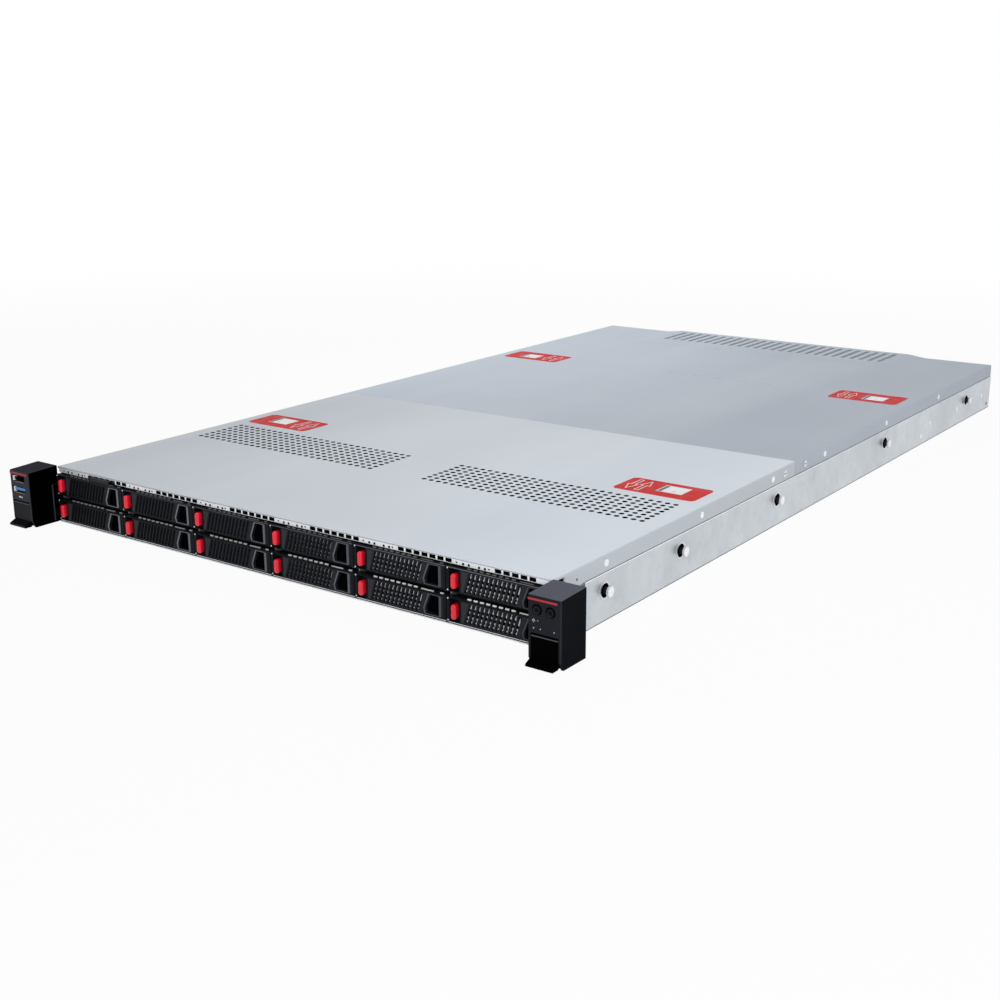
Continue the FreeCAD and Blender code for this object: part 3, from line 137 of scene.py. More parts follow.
def surface(name, colour, rough, metal=0.0, patch=40.0, drift=0.06, grain=900.0, bump=0.04,
            stretch=None, spangle=0.0, coat=0.0, gleam=0.5, painted_face_light=None, painted_light_sweep=None):
    """Procedural finish: colour drift in soft patches, uneven gloss and a fine grain.

    sweep and tones are painted light and shade: sweep scales the colour at the left and at the
    right side of the chassis, and tones does so only on the faces that look along X, Y or up."""
    made = bpy.data.materials.new(name)
    made.use_nodes = True
    tree = made.node_tree
    shader = tree.nodes["Principled BSDF"]
    shader.inputs["Metallic"].default_value = metal
    shader.inputs["Coat Weight"].default_value = coat
    shader.inputs["Specular IOR Level"].default_value = gleam
    base = blended(tree, ranged(tree, noise(tree, patch), 0.3, 0.7, 0.0, 1.0),
                   shade(colour, 1 - drift), shade(colour, 1 + drift))
    if spangle:
        place = add(tree, "ShaderNodeTexCoord")
        cells = add(tree, "ShaderNodeTexVoronoi", {"Scale": 150.0, "Randomness": 1.0})
        tree.links.new(place.outputs["Object"], cells.inputs["Vector"])
        grey = add(tree, "ShaderNodeSeparateColor")
        tree.links.new(cells.outputs["Color"], grey.inputs["Color"])
        base = scaled(tree, base, ranged(tree, grey.outputs["Red"], 0.0, 1.0, 1 - spangle,
                                         1 + spangle))
    # Painted light and shade, by face direction and from the left to the right side.
    for axis, (left, right) in (painted_face_light or {}).items():
        base = paint_face_light(tree, base, axis, left, right)
    if painted_light_sweep:
        across = part_of(tree, "Object", "X")
        base = scaled(tree, base, ranged(tree, across, -HALF_WIDTH, HALF_WIDTH, *painted_light_sweep))
    tree.links.new(base, shader.inputs["Base Color"])
    gloss = ranged(tree, noise(tree, patch * 2.3, stretch=stretch), 0.3, 0.7, rough * 0.82,
                   rough * 1.18)
    tree.links.new(gloss, shader.inputs["Roughness"])
    relief = add(tree, "ShaderNodeBump", {"Strength": bump, "Distance": 0.0002})
    tree.links.new(noise(tree, grain, 4.0, stretch), relief.inputs["Height"])
    tree.links.new(relief.outputs["Normal"], shader.inputs["Normal"])
    return made


TRAY_LOW, TRAY_HIGH = corners("chassis_tray")
HALF_WIDTH = TRAY_HIGH.x * MM
BRUSH_Y = (1.0, 0.06, 1.0)
BRUSH_X = (0.06, 1.0, 1.0)
# Painted shade: factor that darkens the cover's sideways-facing flange.
FLANGE_PAINTED_SHADE = (0.70, 0.70)

LOOKS = {
    "galvanised_sheet": surface("galvanised_sheet", (0.59, 0.625, 0.66), 0.40, 0.75, patch=18.0,
                                drift=0.07, bump=0.05, spangle=0.035),
    # Front cover: painted shade on the flange and painted light, brighter towards the right.
    "front_cover_sheet": surface("front_cover_sheet", (0.61, 0.65, 0.70), 0.50, 0.35, patch=6.0,
                                 drift=0.03, grain=1500.0, bump=0.05, stretch=BRUSH_Y,
                                 painted_face_light={"X": FLANGE_PAINTED_SHADE}, painted_light_sweep=(0.98, 1.22)),
    # Rear cover: painted light, darker towards the right.
    "rear_cover_sheet": surface("rear_cover_sheet", (0.51, 0.56, 0.63), 0.50, 0.35, patch=6.0,
                                drift=0.04, grain=1500.0, bump=0.05, stretch=BRUSH_Y,
                                painted_light_sweep=(1.13, 0.87)),
    "latch_plate": surface("latch_plate", (0.80, 0.80, 0.81), 0.34, 0.6, stretch=BRUSH_X),
    "strip_sheet": surface("strip_sheet", (0.84, 0.85, 0.87), 0.38, 0.4, drift=0.05),
    "tab_plastic": surface("tab_plastic", (0.012, 0.012, 0.014), 0.45, gleam=0.2),
    # Ears: painted light, a separate brightness on side, front and top faces, changing from
    # left to right.
    "ear_moulding": surface("ear_moulding", (0.0042, 0.0044, 0.0054), 0.50, grain=2600.0,
                            bump=0.10, gleam=0.0,
                            painted_face_light={"X": (0.1, 2.0), "Y": (13.0, 4.6), "Z": (7.7, 26.0)}),
    # Levers: painted light, front faces much lighter at the left, side and top faces darkened.
    "lever_plastic": surface("lever_plastic", (0.0036, 0.0035, 0.0038), 0.50, grain=2600.0,
                             bump=0.10, gleam=0.0,
                             painted_face_light={"X": (0.5, 0.5), "Y": (10.0, 0.4), "Z": (0.4, 0.4)}),
    "carrier_frame": surface("carrier_frame", (0.007, 0.008, 0.010), 0.45, grain=2200.0,
                             bump=0.08, gleam=0.06),
    # Handles: painted light, darker at the left and lighter at the right.
    "handle_plastic": surface("handle_plastic", (0.013, 0.014, 0.018), 0.45, grain=2200.0,
                              bump=0.08, gleam=0.08, painted_light_sweep=(0.6, 1.5)),
    # Red keys: painted shade on their side faces and painted light, lighter at the left.
    "release_red": surface("release_red", (0.66, 0.006, 0.022), 0.28, drift=0.04, coat=0.15,
                           gleam=0.5, painted_face_light={"X": (0.8, 0.8)}, painted_light_sweep=(1.45, 1.1)),
    "key_plastic": surface("key_plastic", (0.0012, 0.0016, 0.0018), 0.32, bump=0.03,
                           gleam=0.06),
    "board_laminate": surface("board_laminate", (0.02, 0.12, 0.06), 0.35, patch=90.0,
                              drift=0.2),
    "fan_plastic": surface("fan_plastic", (0.012, 0.012, 0.013), 0.45, gleam=0.3),
    "cooler_metal": surface("cooler_metal", (0.72, 0.73, 0.74), 0.30, 0.9, stretch=BRUSH_Y),
    "stud_steel": surface("stud_steel", (0.70, 0.71, 0.73), 0.28, 0.8),
    "connector_shell": surface("connector_shell", (0.58, 0.59, 0.60), 0.34, 0.8, drift=0.05),
    "supply_case": surface("supply_case", (0.50, 0.52, 0.54), 0.38, 0.75, drift=0.06,
                           spangle=0.03),
}

LABEL_RED = surface("label_red", (0.70, 0.030, 0.032), 0.55, drift=0.03, bump=0.02, gleam=0.12)
LABEL_INK = surface("label_ink", (0.88, 0.84, 0.83), 0.45, drift=0.02, bump=0.02)
BAR_RED = surface("bar_red", (0.42, 0.035, 0.045), 0.45, drift=0.10, bump=0.02, gleam=0.2)
# Black for holes and for painted shade in gaps and recesses.
HOLE_AND_SHADE_BLACK = surface("hole_and_shade_black", (0.002, 0.002, 0.003), 0.9, drift=0.2, bump=0.02, gleam=0.0)
PALE_METAL = surface("pale_metal", (0.90, 0.91, 0.92), 0.32, 0.4, drift=0.05)
# Near-white metal, also a painted highlight along the tray's top edge.
WHITE_METAL_AND_HIGHLIGHT = surface("white_metal_and_highlight", (0.97, 0.97, 0.98), 0.40, 0.0, drift=0.03)
# Bright dashes with painted light, darker towards the left.
CONTACT_METAL_PAINTED_FADE = surface("contact_spring_painted_fade", (0.97, 0.97, 0.98), 0.40, drift=0.03,
                        painted_light_sweep=(0.2, 1.0))
WHITE_INK = surface("white_ink", (0.72, 0.73, 0.74), 0.5, drift=0.04, bump=0.02)
USB_BLUE = surface("usb_blue", (0.03, 0.26, 0.62), 0.35, drift=0.08)
MARK_GREY = surface("mark_grey", (0.42, 0.43, 0.45), 0.5, drift=0.04, bump=0.02)
BRASS = surface("contact_brass", (0.62, 0.42, 0.24), 0.35, 0.7, drift=0.1)
# Painted highlight on the handles' grip rims and hinge edges, lighter at the left.
RIM_HIGHLIGHT_GREY = surface("rim_highlight_grey", (0.10, 0.105, 0.12), 0.42, grain=2200.0, bump=0.06, gleam=0.1,
                   painted_light_sweep=(2.3, 0.5))
# Painted highlight lines on the ear levers.
EDGE_HIGHLIGHT_GREY = surface("edge_highlight_grey", (0.075, 0.077, 0.085), 0.42, grain=2200.0, bump=0.06,
                    gleam=0.1)
# Painted highlight line along the upper bays' top rail, lighter at the right.
RAIL_HIGHLIGHT_GREY = surface("rail_highlight_grey", (0.10, 0.105, 0.12), 0.42, grain=2200.0, bump=0.06, gleam=0.1,
                    painted_light_sweep=(0.2, 1.9))
# Painted highlight on the handles' corner facet.
FACET_HIGHLIGHT_GREY = surface("facet_grey", (0.024, 0.026, 0.032), 0.42, grain=2200.0, bump=0.06,
                     gleam=0.15)
# Black of chips and black parts, also painted shade on the stud necks.
CHIP_BLACK_AND_SHADE = surface("chip_black_and_shade", (0.008, 0.008, 0.009), 0.4, gleam=0.2)
# Mid grey of marks and caps, also painted shade on the latch plates and the sides' bottom
# edges.
MID_GREY_AND_SHADE = surface("groove_grey", (0.14, 0.14, 0.15), 0.5, 0.3, drift=0.1)
LOUVRE_GREY = surface("louvre_grey", (0.27, 0.29, 0.32), 0.5, 0.2, drift=0.08)
LAMP_GREEN = surface("lamp_green", (0.05, 0.45, 0.16), 0.25, coat=0.5)
TAB_TEAL = surface("tab_teal", (0.03, 0.22, 0.22), 0.4, drift=0.05)
BOARD_TIN = surface("board_tin", (0.66, 0.67, 0.69), 0.25, 0.85)

for entry in frame["record"]["subparts"]:
    mesh = NODES[entry["node"]].data
    mesh.materials.clear()
    mesh.materials.append(LOOKS[entry["material_slot"]])

# ---------------------------------------------------------------- piece helpers

UP = Vector((0, 0, 1))
DIRECTIONS = {
    "top": (Vector((1, 0, 0)), Vector((0, 1, 0)), Vector((0, 0, 1))),
    "front": (Vector((1, 0, 0)), UP, Vector((0, -1, 0))),
    "rear": (Vector((-1, 0, 0)), UP, Vector((0, 1, 0))),
    "right": (Vector((0, 1, 0)), UP, Vector((1, 0, 0))),
    "left": (Vector((0, -1, 0)), UP, Vector((-1, 0, 0))),
}
BOTH_SIDES = (("left", -1), ("right", 1))
FILM = 0.02
MARK = 0.03


def sheet_piece(name, loops, thick, face, level, body, look, edge=0.0):
    """Flat piece from closed outlines (inner ones cut holes), standing out of a face.

    Outlines are in mm in the face's own axes, level is how far out the face lies and edge is
    the width of the rounding, both in mm."""
    curve = bpy.data.curves.new(name, "CURVE")
    curve.dimensions = "2D"
    curve.fill_mode = "BOTH"
    curve.extrude = thick / 2 * MM
    for loop in loops:
        line = curve.splines.new("POLY")
        line.points.add(len(loop) - 1)
        for point, (across, up) in zip(line.points, loop):
            point.co = (across * MM, up * MM, 0, 1)
        line.use_cyclic_u = True
    source = bpy.data.objects.new(name + "_outline", curve)
    mesh = bpy.data.meshes.new_from_object(source)
    bpy.data.objects.remove(source)
    across, up, out = DIRECTIONS[face]
    turn = Matrix((across, up, out)).transposed().to_4x4()
    mesh.transform(Matrix.Translation(out * (level + thick / 2) * MM) @ turn)
    piece = put(name, mesh, body, look)
    return bevel(piece, edge) if edge else piece


def dark_sheet(name, loops, thick, face, level, body):
    """Thin black sheet that reads as holes or as a shadow gap."""
    return sheet_piece(name, loops, thick, face, level, body, HOLE_AND_SHADE_BLACK)


def put(name, mesh, body, look):
    """Make a mesh a piece of the object that rides on a body."""
    piece = bpy.data.objects.new(name, mesh)
    bpy.context.scene.collection.objects.link(piece)
    mesh.materials.clear()
    mesh.materials.append(look)
    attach(piece, body)
    return piece


def bevel(piece, width, segments=2):
    """Round a piece's edges a little."""
    modifier = piece.modifiers.new("round", "BEVEL")
    modifier.width = width * MM
    modifier.segments = segments
    modifier.limit_method = "ANGLE"
    return piece


def disc(across, up, radius, sides=14):
    """Regular polygon that stands for a circle."""
    return [(across + radius * math.cos(2 * math.pi * i / sides),
             up + radius * math.sin(2 * math.pi * i / sides)) for i in range(sides)]


def washer(across, up, outer, inner, sides=24):
    """Two circles that make a ring."""
    return [disc(across, up, outer, sides), disc(across, up, inner, sides)]


def rounded(left, right, low, high, radius, steps=5):
    """Rectangle with round corners."""
    points = []
    for cx, cy, start in ((right - radius, high - radius, 0),
                          (left + radius, high - radius, 90),
                          (left + radius, low + radius, 180),
                          (right - radius, low + radius, 270)):
        for i in range(steps + 1):
            turn = math.radians(start + 90 * i / steps)
            points.append((cx + radius * math.cos(turn), cy + radius * math.sin(turn)))
    return points


def oblong(left, right, low, high):
    """Rectangle from its four sides."""
    return [(left, low), (right, low), (right, high), (left, high)]


def grown(sides, amount):
    """The four sides of a rectangle, moved out by an amount."""
    left, right, low, high = sides
    return left - amount, right + amount, low - amount, high + amount


def shifted(loop, across, up):
    """Outline moved in its own plane."""
    return [(a + across, u + up) for a, u in loop]


# ---------------------------------------------------------------- covers

COVER_HIGH = corners("front_cover")[1]
COVER_TOP = COVER_HIGH.z
FLANGE_FACE = COVER_HIGH.x
DEPTH = TRAY_HIGH.y
COVERS = ("front_cover", "rear_cover")
LATCHES = {"front_cover": "front_latch_", "rear_cover": "rear_latch_"}


def latch_centre(body, side):
    """Middle of a cover's latch, seen from above."""
    low, high = corners(LATCHES[body] + side)
    return (low.x + high.x) / 2, (low.y + high.y) / 2


def arrow(middle, tip, tail):
    """Outlined block arrow from tail to tip: its outer and inner outline."""
    half, shaft, line = ARROW_HALF, ARROW_SHAFT, ARROW_LINE
    way = 1 if tip > tail else -1
    neck = tip - way * ARROW_HEAD
    slope = line * 1.5
    outer = [(middle, tip), (middle - way * half, neck), (middle - way * shaft, neck),
             (middle - way * shaft, tail), (middle + way * shaft, tail),
             (middle + way * shaft, neck), (middle + way * half, neck)]
    inner = [(middle, tip - way * line * 2.6),
             (middle - way * (half - slope), neck + way * line),
             (middle - way * (shaft - line), neck + way * line),
             (middle - way * (shaft - line), tail + way * line),
             (middle + way * (shaft - line), tail + way * line),
             (middle + way * (shaft - line), neck + way * line),
             (middle + way * (half - slope), neck + way * line)]
    return outer, inner


LATCH_WINDOW = (10.3, 8.6)
LABEL_CORNER = 4.0
LABEL_INNER = 38.9
LABEL_OUTER = 24.3
LABEL_SPANS = {"front_cover": (-18.3, 13.9), "rear_cover": (-16.6, 17.7)}
ARROW_REACH = 12.5
ARROW_HEAD = 12.0
ARROW_HALF = 4.3
ARROW_SHAFT = 1.9
ARROW_LINE = 0.75
ARROWS = {"left": (20.7, 30.7), "right": (-30.5, -21.9)}


def cover_labels():
    """Red field round each latch, with a pair of outlined arrows."""
    for body in COVERS:
        for side, sign in BOTH_SIDES:
            x, y = latch_centre(body, side)
            low, high = (y + offset for offset in LABEL_SPANS[body])
            ends = sorted((x - sign * LABEL_INNER, x + sign * LABEL_OUTER))
            sheet_piece("label_%s_%s" % (body, side),
                        [rounded(ends[0], ends[1], low, high, LABEL_CORNER),
                         oblong(x - LATCH_WINDOW[0], x + LATCH_WINDOW[0], y - LATCH_WINDOW[1],
                                y + LATCH_WINDOW[1])], 0.12, "top", COVER_TOP + 0.02, body,
                        LABEL_RED)
            loops = []
            middle = (low + high) / 2
            for offset, way in zip(ARROWS[side], (-1, 1)):
                loops.extend(arrow(x + offset, middle + way * ARROW_REACH,
                                   middle - way * ARROW_REACH))
            sheet_piece("label_arrows_%s_%s" % (body, side), loops, 0.04, "top",
                        COVER_TOP + 0.15, body, LABEL_INK)


def latch_marks():
    """Painted shadow along the left edge and the dark keyhole of each latch plate."""
    for body in COVERS:
        for side, sign in BOTH_SIDES:
            latch = LATCHES[body] + side
            low, high = corners(latch)
            x, y = latch_centre(body, side)
            # Painted shadow: grey strip along the plate's left edge.
            edge_shadow = [oblong(low.x + 0.7, low.x + 3.2, low.y + 1.0, high.y - 1.0)]
            sheet_piece("groove_" + latch, edge_shadow, 0.12, "top", high.z, latch,
                        MID_GREY_AND_SHADE, edge=0.05)
            bar = [oblong(low.x + 4.0, low.x + 4.5, low.y + 1.2, high.y - 1.2)]
            sheet_piece("ridge_" + latch, bar, 0.25, "top", high.z, latch,
                        PALE_METAL, edge=0.1)
            hole = [disc(x + sign * 1.7, y - 4.1, 1.7, 16)]
            dark_sheet("keyhole_" + latch, hole, 0.05, "top", high.z - 1.15, latch)


VENT_START = (25.2, 126.0)
VENT_PITCH = (6.34, 6.25)
VENT_COLUMNS = 29
VENT_ROWS = 8
VENT_RADIUS = 1.9


def cover_vents():
    """Two fields of dark discs that read as vent holes in the front cover."""
    for side, sign in BOTH_SIDES:
        holes = [disc(sign * (VENT_START[0] + VENT_PITCH[0] * column),
                      VENT_START[1] + VENT_PITCH[1] * row, VENT_RADIUS)
                 for column in range(VENT_COLUMNS) for row in range(VENT_ROWS)]
        dark_sheet("vent_holes_" + side, holes, FILM, "top", COVER_TOP + 0.01, "front_cover")


def seam_marks():
    """Dark line in the joint of the covers and faint pressed marks on the rear cover."""
    seam = COVER_HIGH.y
    dark_sheet("seam_shadow", [oblong(-216.0, 216.0, seam + 0.02, seam + 0.28)], 0.05, "top",
               COVER_TOP - 0.5, "rear_cover")
    marks = [oblong(left, left + 7.5, 566.0, 566.5) for left in range(-26, 99, 25)]
    sheet_piece("pressed_marks", marks, FILM, "top", COVER_TOP, "rear_cover",
                MID_GREY_AND_SHADE)


FLANGE_LEVEL = 36.3
DIMPLES = {"front_cover": (57, 176, 283), "rear_cover": (374, 500, 626)}
FLANGE_SCREWS = {"front_cover": 302.6, "rear_cover": 337.4}
SCREW_HEAD = 0.45


def flange_marks():
    """Spot dimples and flat screws on both cover flanges."""
    for side, way in BOTH_SIDES:
        for body, places in DIMPLES.items():
            spots = [disc(way * y, FLANGE_LEVEL, 2.3) for y in places]
            sheet_piece("dimples_%s_%s" % (body, side), spots, 0.25, side, FLANGE_FACE, body,
                        PALE_METAL, edge=0.15)
        for body, y in FLANGE_SCREWS.items():
            sheet_piece("screw_%s_%s" % (body, side), [disc(way * y, FLANGE_LEVEL, 2.7, 20)],
                        SCREW_HEAD, side, FLANGE_FACE, body, LOOKS["stud_steel"],
                        edge=0.2)
            slots = [oblong(way * y - 1.5, way * y + 1.5, FLANGE_LEVEL - 0.3,
                            FLANGE_LEVEL + 0.3)]
            dark_sheet("screw_slot_%s_%s" % (body, side), slots, MARK, side,
                       FLANGE_FACE + SCREW_HEAD, body)
        sheet_piece("flange_hole_" + side, [disc(way * 25.0, 35.0, 1.0)], MARK, side,
                    FLANGE_FACE, "front_cover", MID_GREY_AND_SHADE)


UPPER_WALL = 217.8
SHINE_BREAK = 420.0
EMBOSSES = ((585, 8), (606, 16), (679, 15.6), (750, 15.6))
SIDE_HOLES = ((696, 19, 1.4), (768, 5, 1.6))


def side_marks():
    """Painted highlight along the top edge, painted shade at the upper front corner and along
    the bottom edge, embosses and holes of the tray's sides.
    """
    face = TRAY_HIGH.x
    for side, way in BOTH_SIDES:
        # Painted highlight: bright strips along the top bend, brighter at the front.
        shine = [oblong(*sorted((way * 33.2, way * SHINE_BREAK)), 30.25, 30.75)]
        sheet_piece("edge_shine_front_" + side, shine, MARK, side, face, "chassis",
                    WHITE_METAL_AND_HIGHLIGHT)
        shine = [oblong(*sorted((way * SHINE_BREAK, way * (DEPTH - 0.5))), 30.4, 30.75)]
        sheet_piece("edge_shine_rear_" + side, shine, MARK, side, face, "chassis",
                    PALE_METAL)
        # Painted shade: black on the upper wall in the gap behind the cover's front corner.
        corner = [oblong(*sorted((way * 2.5, way * 11.8)), 31.2, 40.8)]
        dark_sheet("corner_shade_" + side, corner, MARK, side, UPPER_WALL, "chassis")
        # Painted shade: a grey strip along the bottom edge.
        bottom_shade = [oblong(*sorted((way * 33.5, way * (DEPTH - 0.5))), 0.15, 0.75)]
        sheet_piece("bottom_edge_shade_" + side, bottom_shade, MARK, side, face, "chassis",
                    MID_GREY_AND_SHADE)
        spots = [disc(way * y, z, 2.2) for y, z in EMBOSSES]
        sheet_piece("embosses_" + side, spots, 0.3, side, face, "chassis",
                    PALE_METAL, edge=0.2)
        holes = [disc(way * y, z, r) for y, z, r in SIDE_HOLES]
        dark_sheet("side_holes_" + side, holes, MARK, side, face, "chassis")


STUD_SHARES = (0.0703, 0.1894, 0.3737, 0.6411, 0.9066)
STUD_HOLE = 4.6
STUD_NECK = 2.02


def stud_washers():
    """Bright washer, painted shade in the recess and on the neck of each rail stud."""
    low, high = corners("rail_studs")
    level = (low.z + high.z) / 2
    face = TRAY_HIGH.x
    for side, way in BOTH_SIDES:
        for number, share in enumerate(STUD_SHARES, start=1):
            y = way * share * DEPTH
            name = "%s_%d" % (side, number)
            sheet_piece("stud_washer_" + name, washer(y, level, 5.6, STUD_HOLE), 0.35, side,
                        face, "chassis", LOOKS["stud_steel"], edge=0.12)
            # Painted shade: black ring in the recess and black sleeve round the neck.
            dark_sheet("stud_hole_shade_" + name, washer(y, level, STUD_HOLE, STUD_NECK), 0.05,
                       side, face, "chassis")
            sheet_piece("stud_neck_shade_" + name, washer(y, level, 2.3, STUD_NECK), 3.2, side,
                        face, "chassis", CHIP_BLACK_AND_SHADE)
            sheet_piece("stud_face_" + name, [disc(y, level, 2.9, 24)], 0.05, side, high.x,
                        "chassis", PALE_METAL, edge=0.02)


cover_labels()
latch_marks()
cover_vents()
seam_marks()
flange_marks()
side_marks()
stud_washers()

# ---------------------------------------------------------------- drive front

HANDLE_INSET = 11.3
HANDLE_FOOT = 0.8
BEZEL_FACE = 3.0


def bay_places():
    """Each bay's name, row, column, left edge and bezel's lower edge."""
    places = []
    for row in ("lower", "upper"):
        for column in range(1, 7):
            bay = "%s_%d" % (row, column)
            low = corners("handle_" + bay)[0]
            places.append((bay, row, column, low.x - HANDLE_INSET, low.z - HANDLE_FOOT))
    return places


BAYS = bay_places()
SCREEN_LEFT = 11.6
SCREEN_RISE = (0.9, 14.5)
SCREEN_ROWS = 4
SCREEN_COLUMNS = 12
SCREEN_PITCH = (3.2, 2.75)
FINGER_COUNT = 8
FINGER_START = 15.0
FINGER_WIDTH = 2.6
FINGER_PITCH = 4.55
FINGER_RISE = {"lower": (15.45, 0.95), "upper": (15.42, 0.7)}
FINGER_LEVEL = 0.9
FINGER_DEPTH = 0.7


def screen_loops(left, base):
    """Plate with staggered round holes behind the grille."""
    loops = [oblong(left + SCREEN_LEFT, left + 52.2, base + SCREEN_RISE[0],
                    base + SCREEN_RISE[1])]
    for row in range(SCREEN_ROWS):
        start = 13.6 + (SCREEN_PITCH[0] / 2 if row % 2 else 0)
        for column in range(SCREEN_COLUMNS):
            loops.append(disc(left + start + SCREEN_PITCH[0] * column,
                              base + 3.4 + SCREEN_PITCH[1] * row, 1.2, 10))
    return loops


def carrier_details():
    """Screens behind the grilles, lamps, contact fingers and foil of the carriers."""
    for bay, row, _, left, base in BAYS:
        body = "carrier_" + bay
        sheet_piece("screen_" + bay, screen_loops(left, base), 0.3, "front", 0.4, body,
                    WHITE_METAL_AND_HIGHLIGHT)
        backing = [oblong(left + SCREEN_LEFT, left + 66.0, base + SCREEN_RISE[0],
                          base + SCREEN_RISE[1])]
        dark_sheet("screen_back_" + bay, backing, 0.2, "front", -1.8, body)
        if row == "upper":
            # Painted highlight line along the top rail of the upper bays.
            line = [oblong(left + 0.7, left + 71.7, base + 14.95, base + 15.35)]
            sheet_piece("rail_line_lit_" + bay, line, 0.06, "front", BEZEL_FACE, body,
                        RAIL_HIGHLIGHT_GREY, edge=0.02)
        lamps = [disc(left + 1.5, base + w, 0.5, 10) for w in (14.6, 0.9)]
        sheet_piece("lamps_" + bay, lamps, 0.12, "front", BEZEL_FACE, body,
                    WHITE_INK)
        lowest, tall = FINGER_RISE[row]
        fingers = [oblong(left + FINGER_START + FINGER_PITCH * i,
                          left + FINGER_START + FINGER_WIDTH + FINGER_PITCH * i, base + lowest,
                          base + lowest + tall) for i in range(FINGER_COUNT)]
        fingers.append(oblong(left + 52.5, left + 62.0, base + lowest,
                              base + lowest + tall * 0.6))
        fingers.append(oblong(left + 67.0, left + 69.4, base + lowest,
                              base + lowest + tall * 0.8))
        # The lower row's dashes carry painted light, darker towards the left.
        look = CONTACT_METAL_PAINTED_FADE if row == "lower" else MID_GREY_AND_SHADE
        sheet_piece("fingers_" + bay, fingers, FINGER_DEPTH, "front", FINGER_LEVEL, body,
                    look, edge=0.15)
        if row == "lower":
            foil = [oblong(left + 1.0, left + 71.4, base - 0.85, base - 0.15)]
            sheet_piece("foil_" + bay, foil, 2.0, "front", 0.0, body,
                        WHITE_METAL_AND_HIGHLIGHT, edge=0.1)


GRIP_WINDOW = [(57.0, 1.4), (67.25, 1.4), (67.25, 14.0), (60.2, 14.0), (56.4, 4.6)]
GRIP_RIM = [(56.3, 0.95), (67.9, 0.95), (67.9, 14.45), (59.2, 14.45), (55.2, 4.6)]
CORNER_FACET = [(11.6, 1.3), (13.2, 1.3), (16.6, 14.1), (11.6, 14.1)]


def handle_details():
    """Painted highlights on the grip window's rim, the corner facet and the hinge edge of each
    handle.
    """
    for bay, _, _, left, base in BAYS:
        face = -corners("handle_" + bay)[0].y
        # Painted highlights: pale bands on the handle's edges and facet.
        lit_rim = [shifted(GRIP_RIM, left, base), shifted(GRIP_WINDOW, left, base)]
        sheet_piece("grip_rim_lit_" + bay, lit_rim, 0.15, "front", face, "handle_" + bay,
                    RIM_HIGHLIGHT_GREY, edge=0.06)
        edge = [oblong(left + 68.0, left + 68.9, base + 1.2, base + 14.2)]
        sheet_piece("hinge_edge_lit_" + bay, edge, 0.12, "front", face, "handle_" + bay,
                    RIM_HIGHLIGHT_GREY, edge=0.05)
        sheet_piece("facet_" + bay, [shifted(CORNER_FACET, left, base)], 0.15, "front", face,
                    "handle_" + bay, FACET_HIGHLIGHT_GREY, edge=0.06)


BUTTON_SINK = 0.15
BUTTON_CROWN = 1.7
BUTTON_CORNER = 1.75
CROWN_TURN = 80


def crowned(low, high, corner, crown, steps=6):
    """Upright rounded block with a domed front: mesh between two corners, in mm."""
    levels = [(0.0, high.y), (0.0, low.y + crown)]
    for step in range(1, steps + 1):
        turn = math.radians(CROWN_TURN * step / steps)
        levels.append((crown * (1 - math.cos(turn)), low.y + crown * (1 - math.sin(turn))))
    points = []
    for inset, y in levels:
        ring = rounded(low.x + inset, high.x - inset, low.z + inset, high.z - inset,
                       max(corner - inset, 0.25))
        points.extend((x * MM, y * MM, z * MM) for x, z in ring)
    count = len(points) // len(levels)
    faces = [list(range(count)), list(range(len(points) - count, len(points)))[::-1]]
    for level in range(len(levels) - 1):
        start = level * count
        for i in range(count):
            after = (i + 1) % count
            faces.append([start + after, start + i, start + count + i, start + count + after])
    mesh = bpy.data.meshes.new("crowned")
    mesh.from_pydata(points, [], faces)
    mesh.update()
    for face in mesh.polygons[2:]:
        face.use_smooth = True
    return mesh


def release_buttons():
    """Domed red key in place of each release button."""
    sink = Vector((BUTTON_SINK, 0, 0))
    for bay, *_ in BAYS:
        node = "release_button_" + bay
        low, high = corners(node)
        mesh = crowned(low + sink, high - sink, BUTTON_CORNER, BUTTON_CROWN)
        piece = put("red_key_" + bay, mesh, node, LOOKS["release_red"])
        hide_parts(node)


def tray_nose():
    """Bright folded edge of the tray under the bays."""
    nose = [oblong(-216.8, 216.8, 0.08, 0.75)]
    sheet_piece("tray_nose_edge", nose, 0.1, "front", -TRAY_LOW.y, "chassis",
                WHITE_METAL_AND_HIGHLIGHT, edge=0.03)


STRIP_HOLE_DROP = 1.9
SLOTS = 7
SLOT_FIRST = 33.9
SLOT_PITCH = 6.08
SLOT_WIDTH = 4.5


def strip_marks():
    """Small holes of the strip above the bays, blackened as painted shade, with painted shade
    behind the slots.
    """
    level = corners("bay_strip")[1].z - STRIP_HOLE_DROP
    holes = []
    for _, row, column, left, _ in BAYS:
        if row == "lower":
            continue
        for u in (10.9, 15.1, 22.6, 26.8):
            holes.append(oblong(left + u - 0.75, left + u + 0.75, level - 0.75, level + 0.75))
        for u in (6.1, 29.6):
            holes.append([(left + u - 0.9, level + 0.7), (left + u + 0.9, level + 0.7),
                          (left + u, level - 0.5)])
        for number in range(SLOTS):
            start = left + SLOT_FIRST + SLOT_PITCH * number
            if column == 1 and number < 5 or column == 6 and number > 4:
                continue
            holes.append(oblong(start - 0.05, start + SLOT_WIDTH + 0.05, level - 0.75,
                                level + 1.75))
    # Painted shade: black over the holes and slots and behind them.
    dark_sheet("strip_hole_shade", holes, FILM, "front", 0.01, "chassis")
    backing = [oblong(-216.5, -186.0, 38.2, 40.3), oblong(-153.0, 216.5, 38.2, 40.3)]
    dark_sheet("strip_back_shade", backing, 0.05, "front", -1.4, "chassis")


carrier_details()
handle_details()
release_buttons()
tray_nose()
strip_marks()

# ---------------------------------------------------------------- rack ears

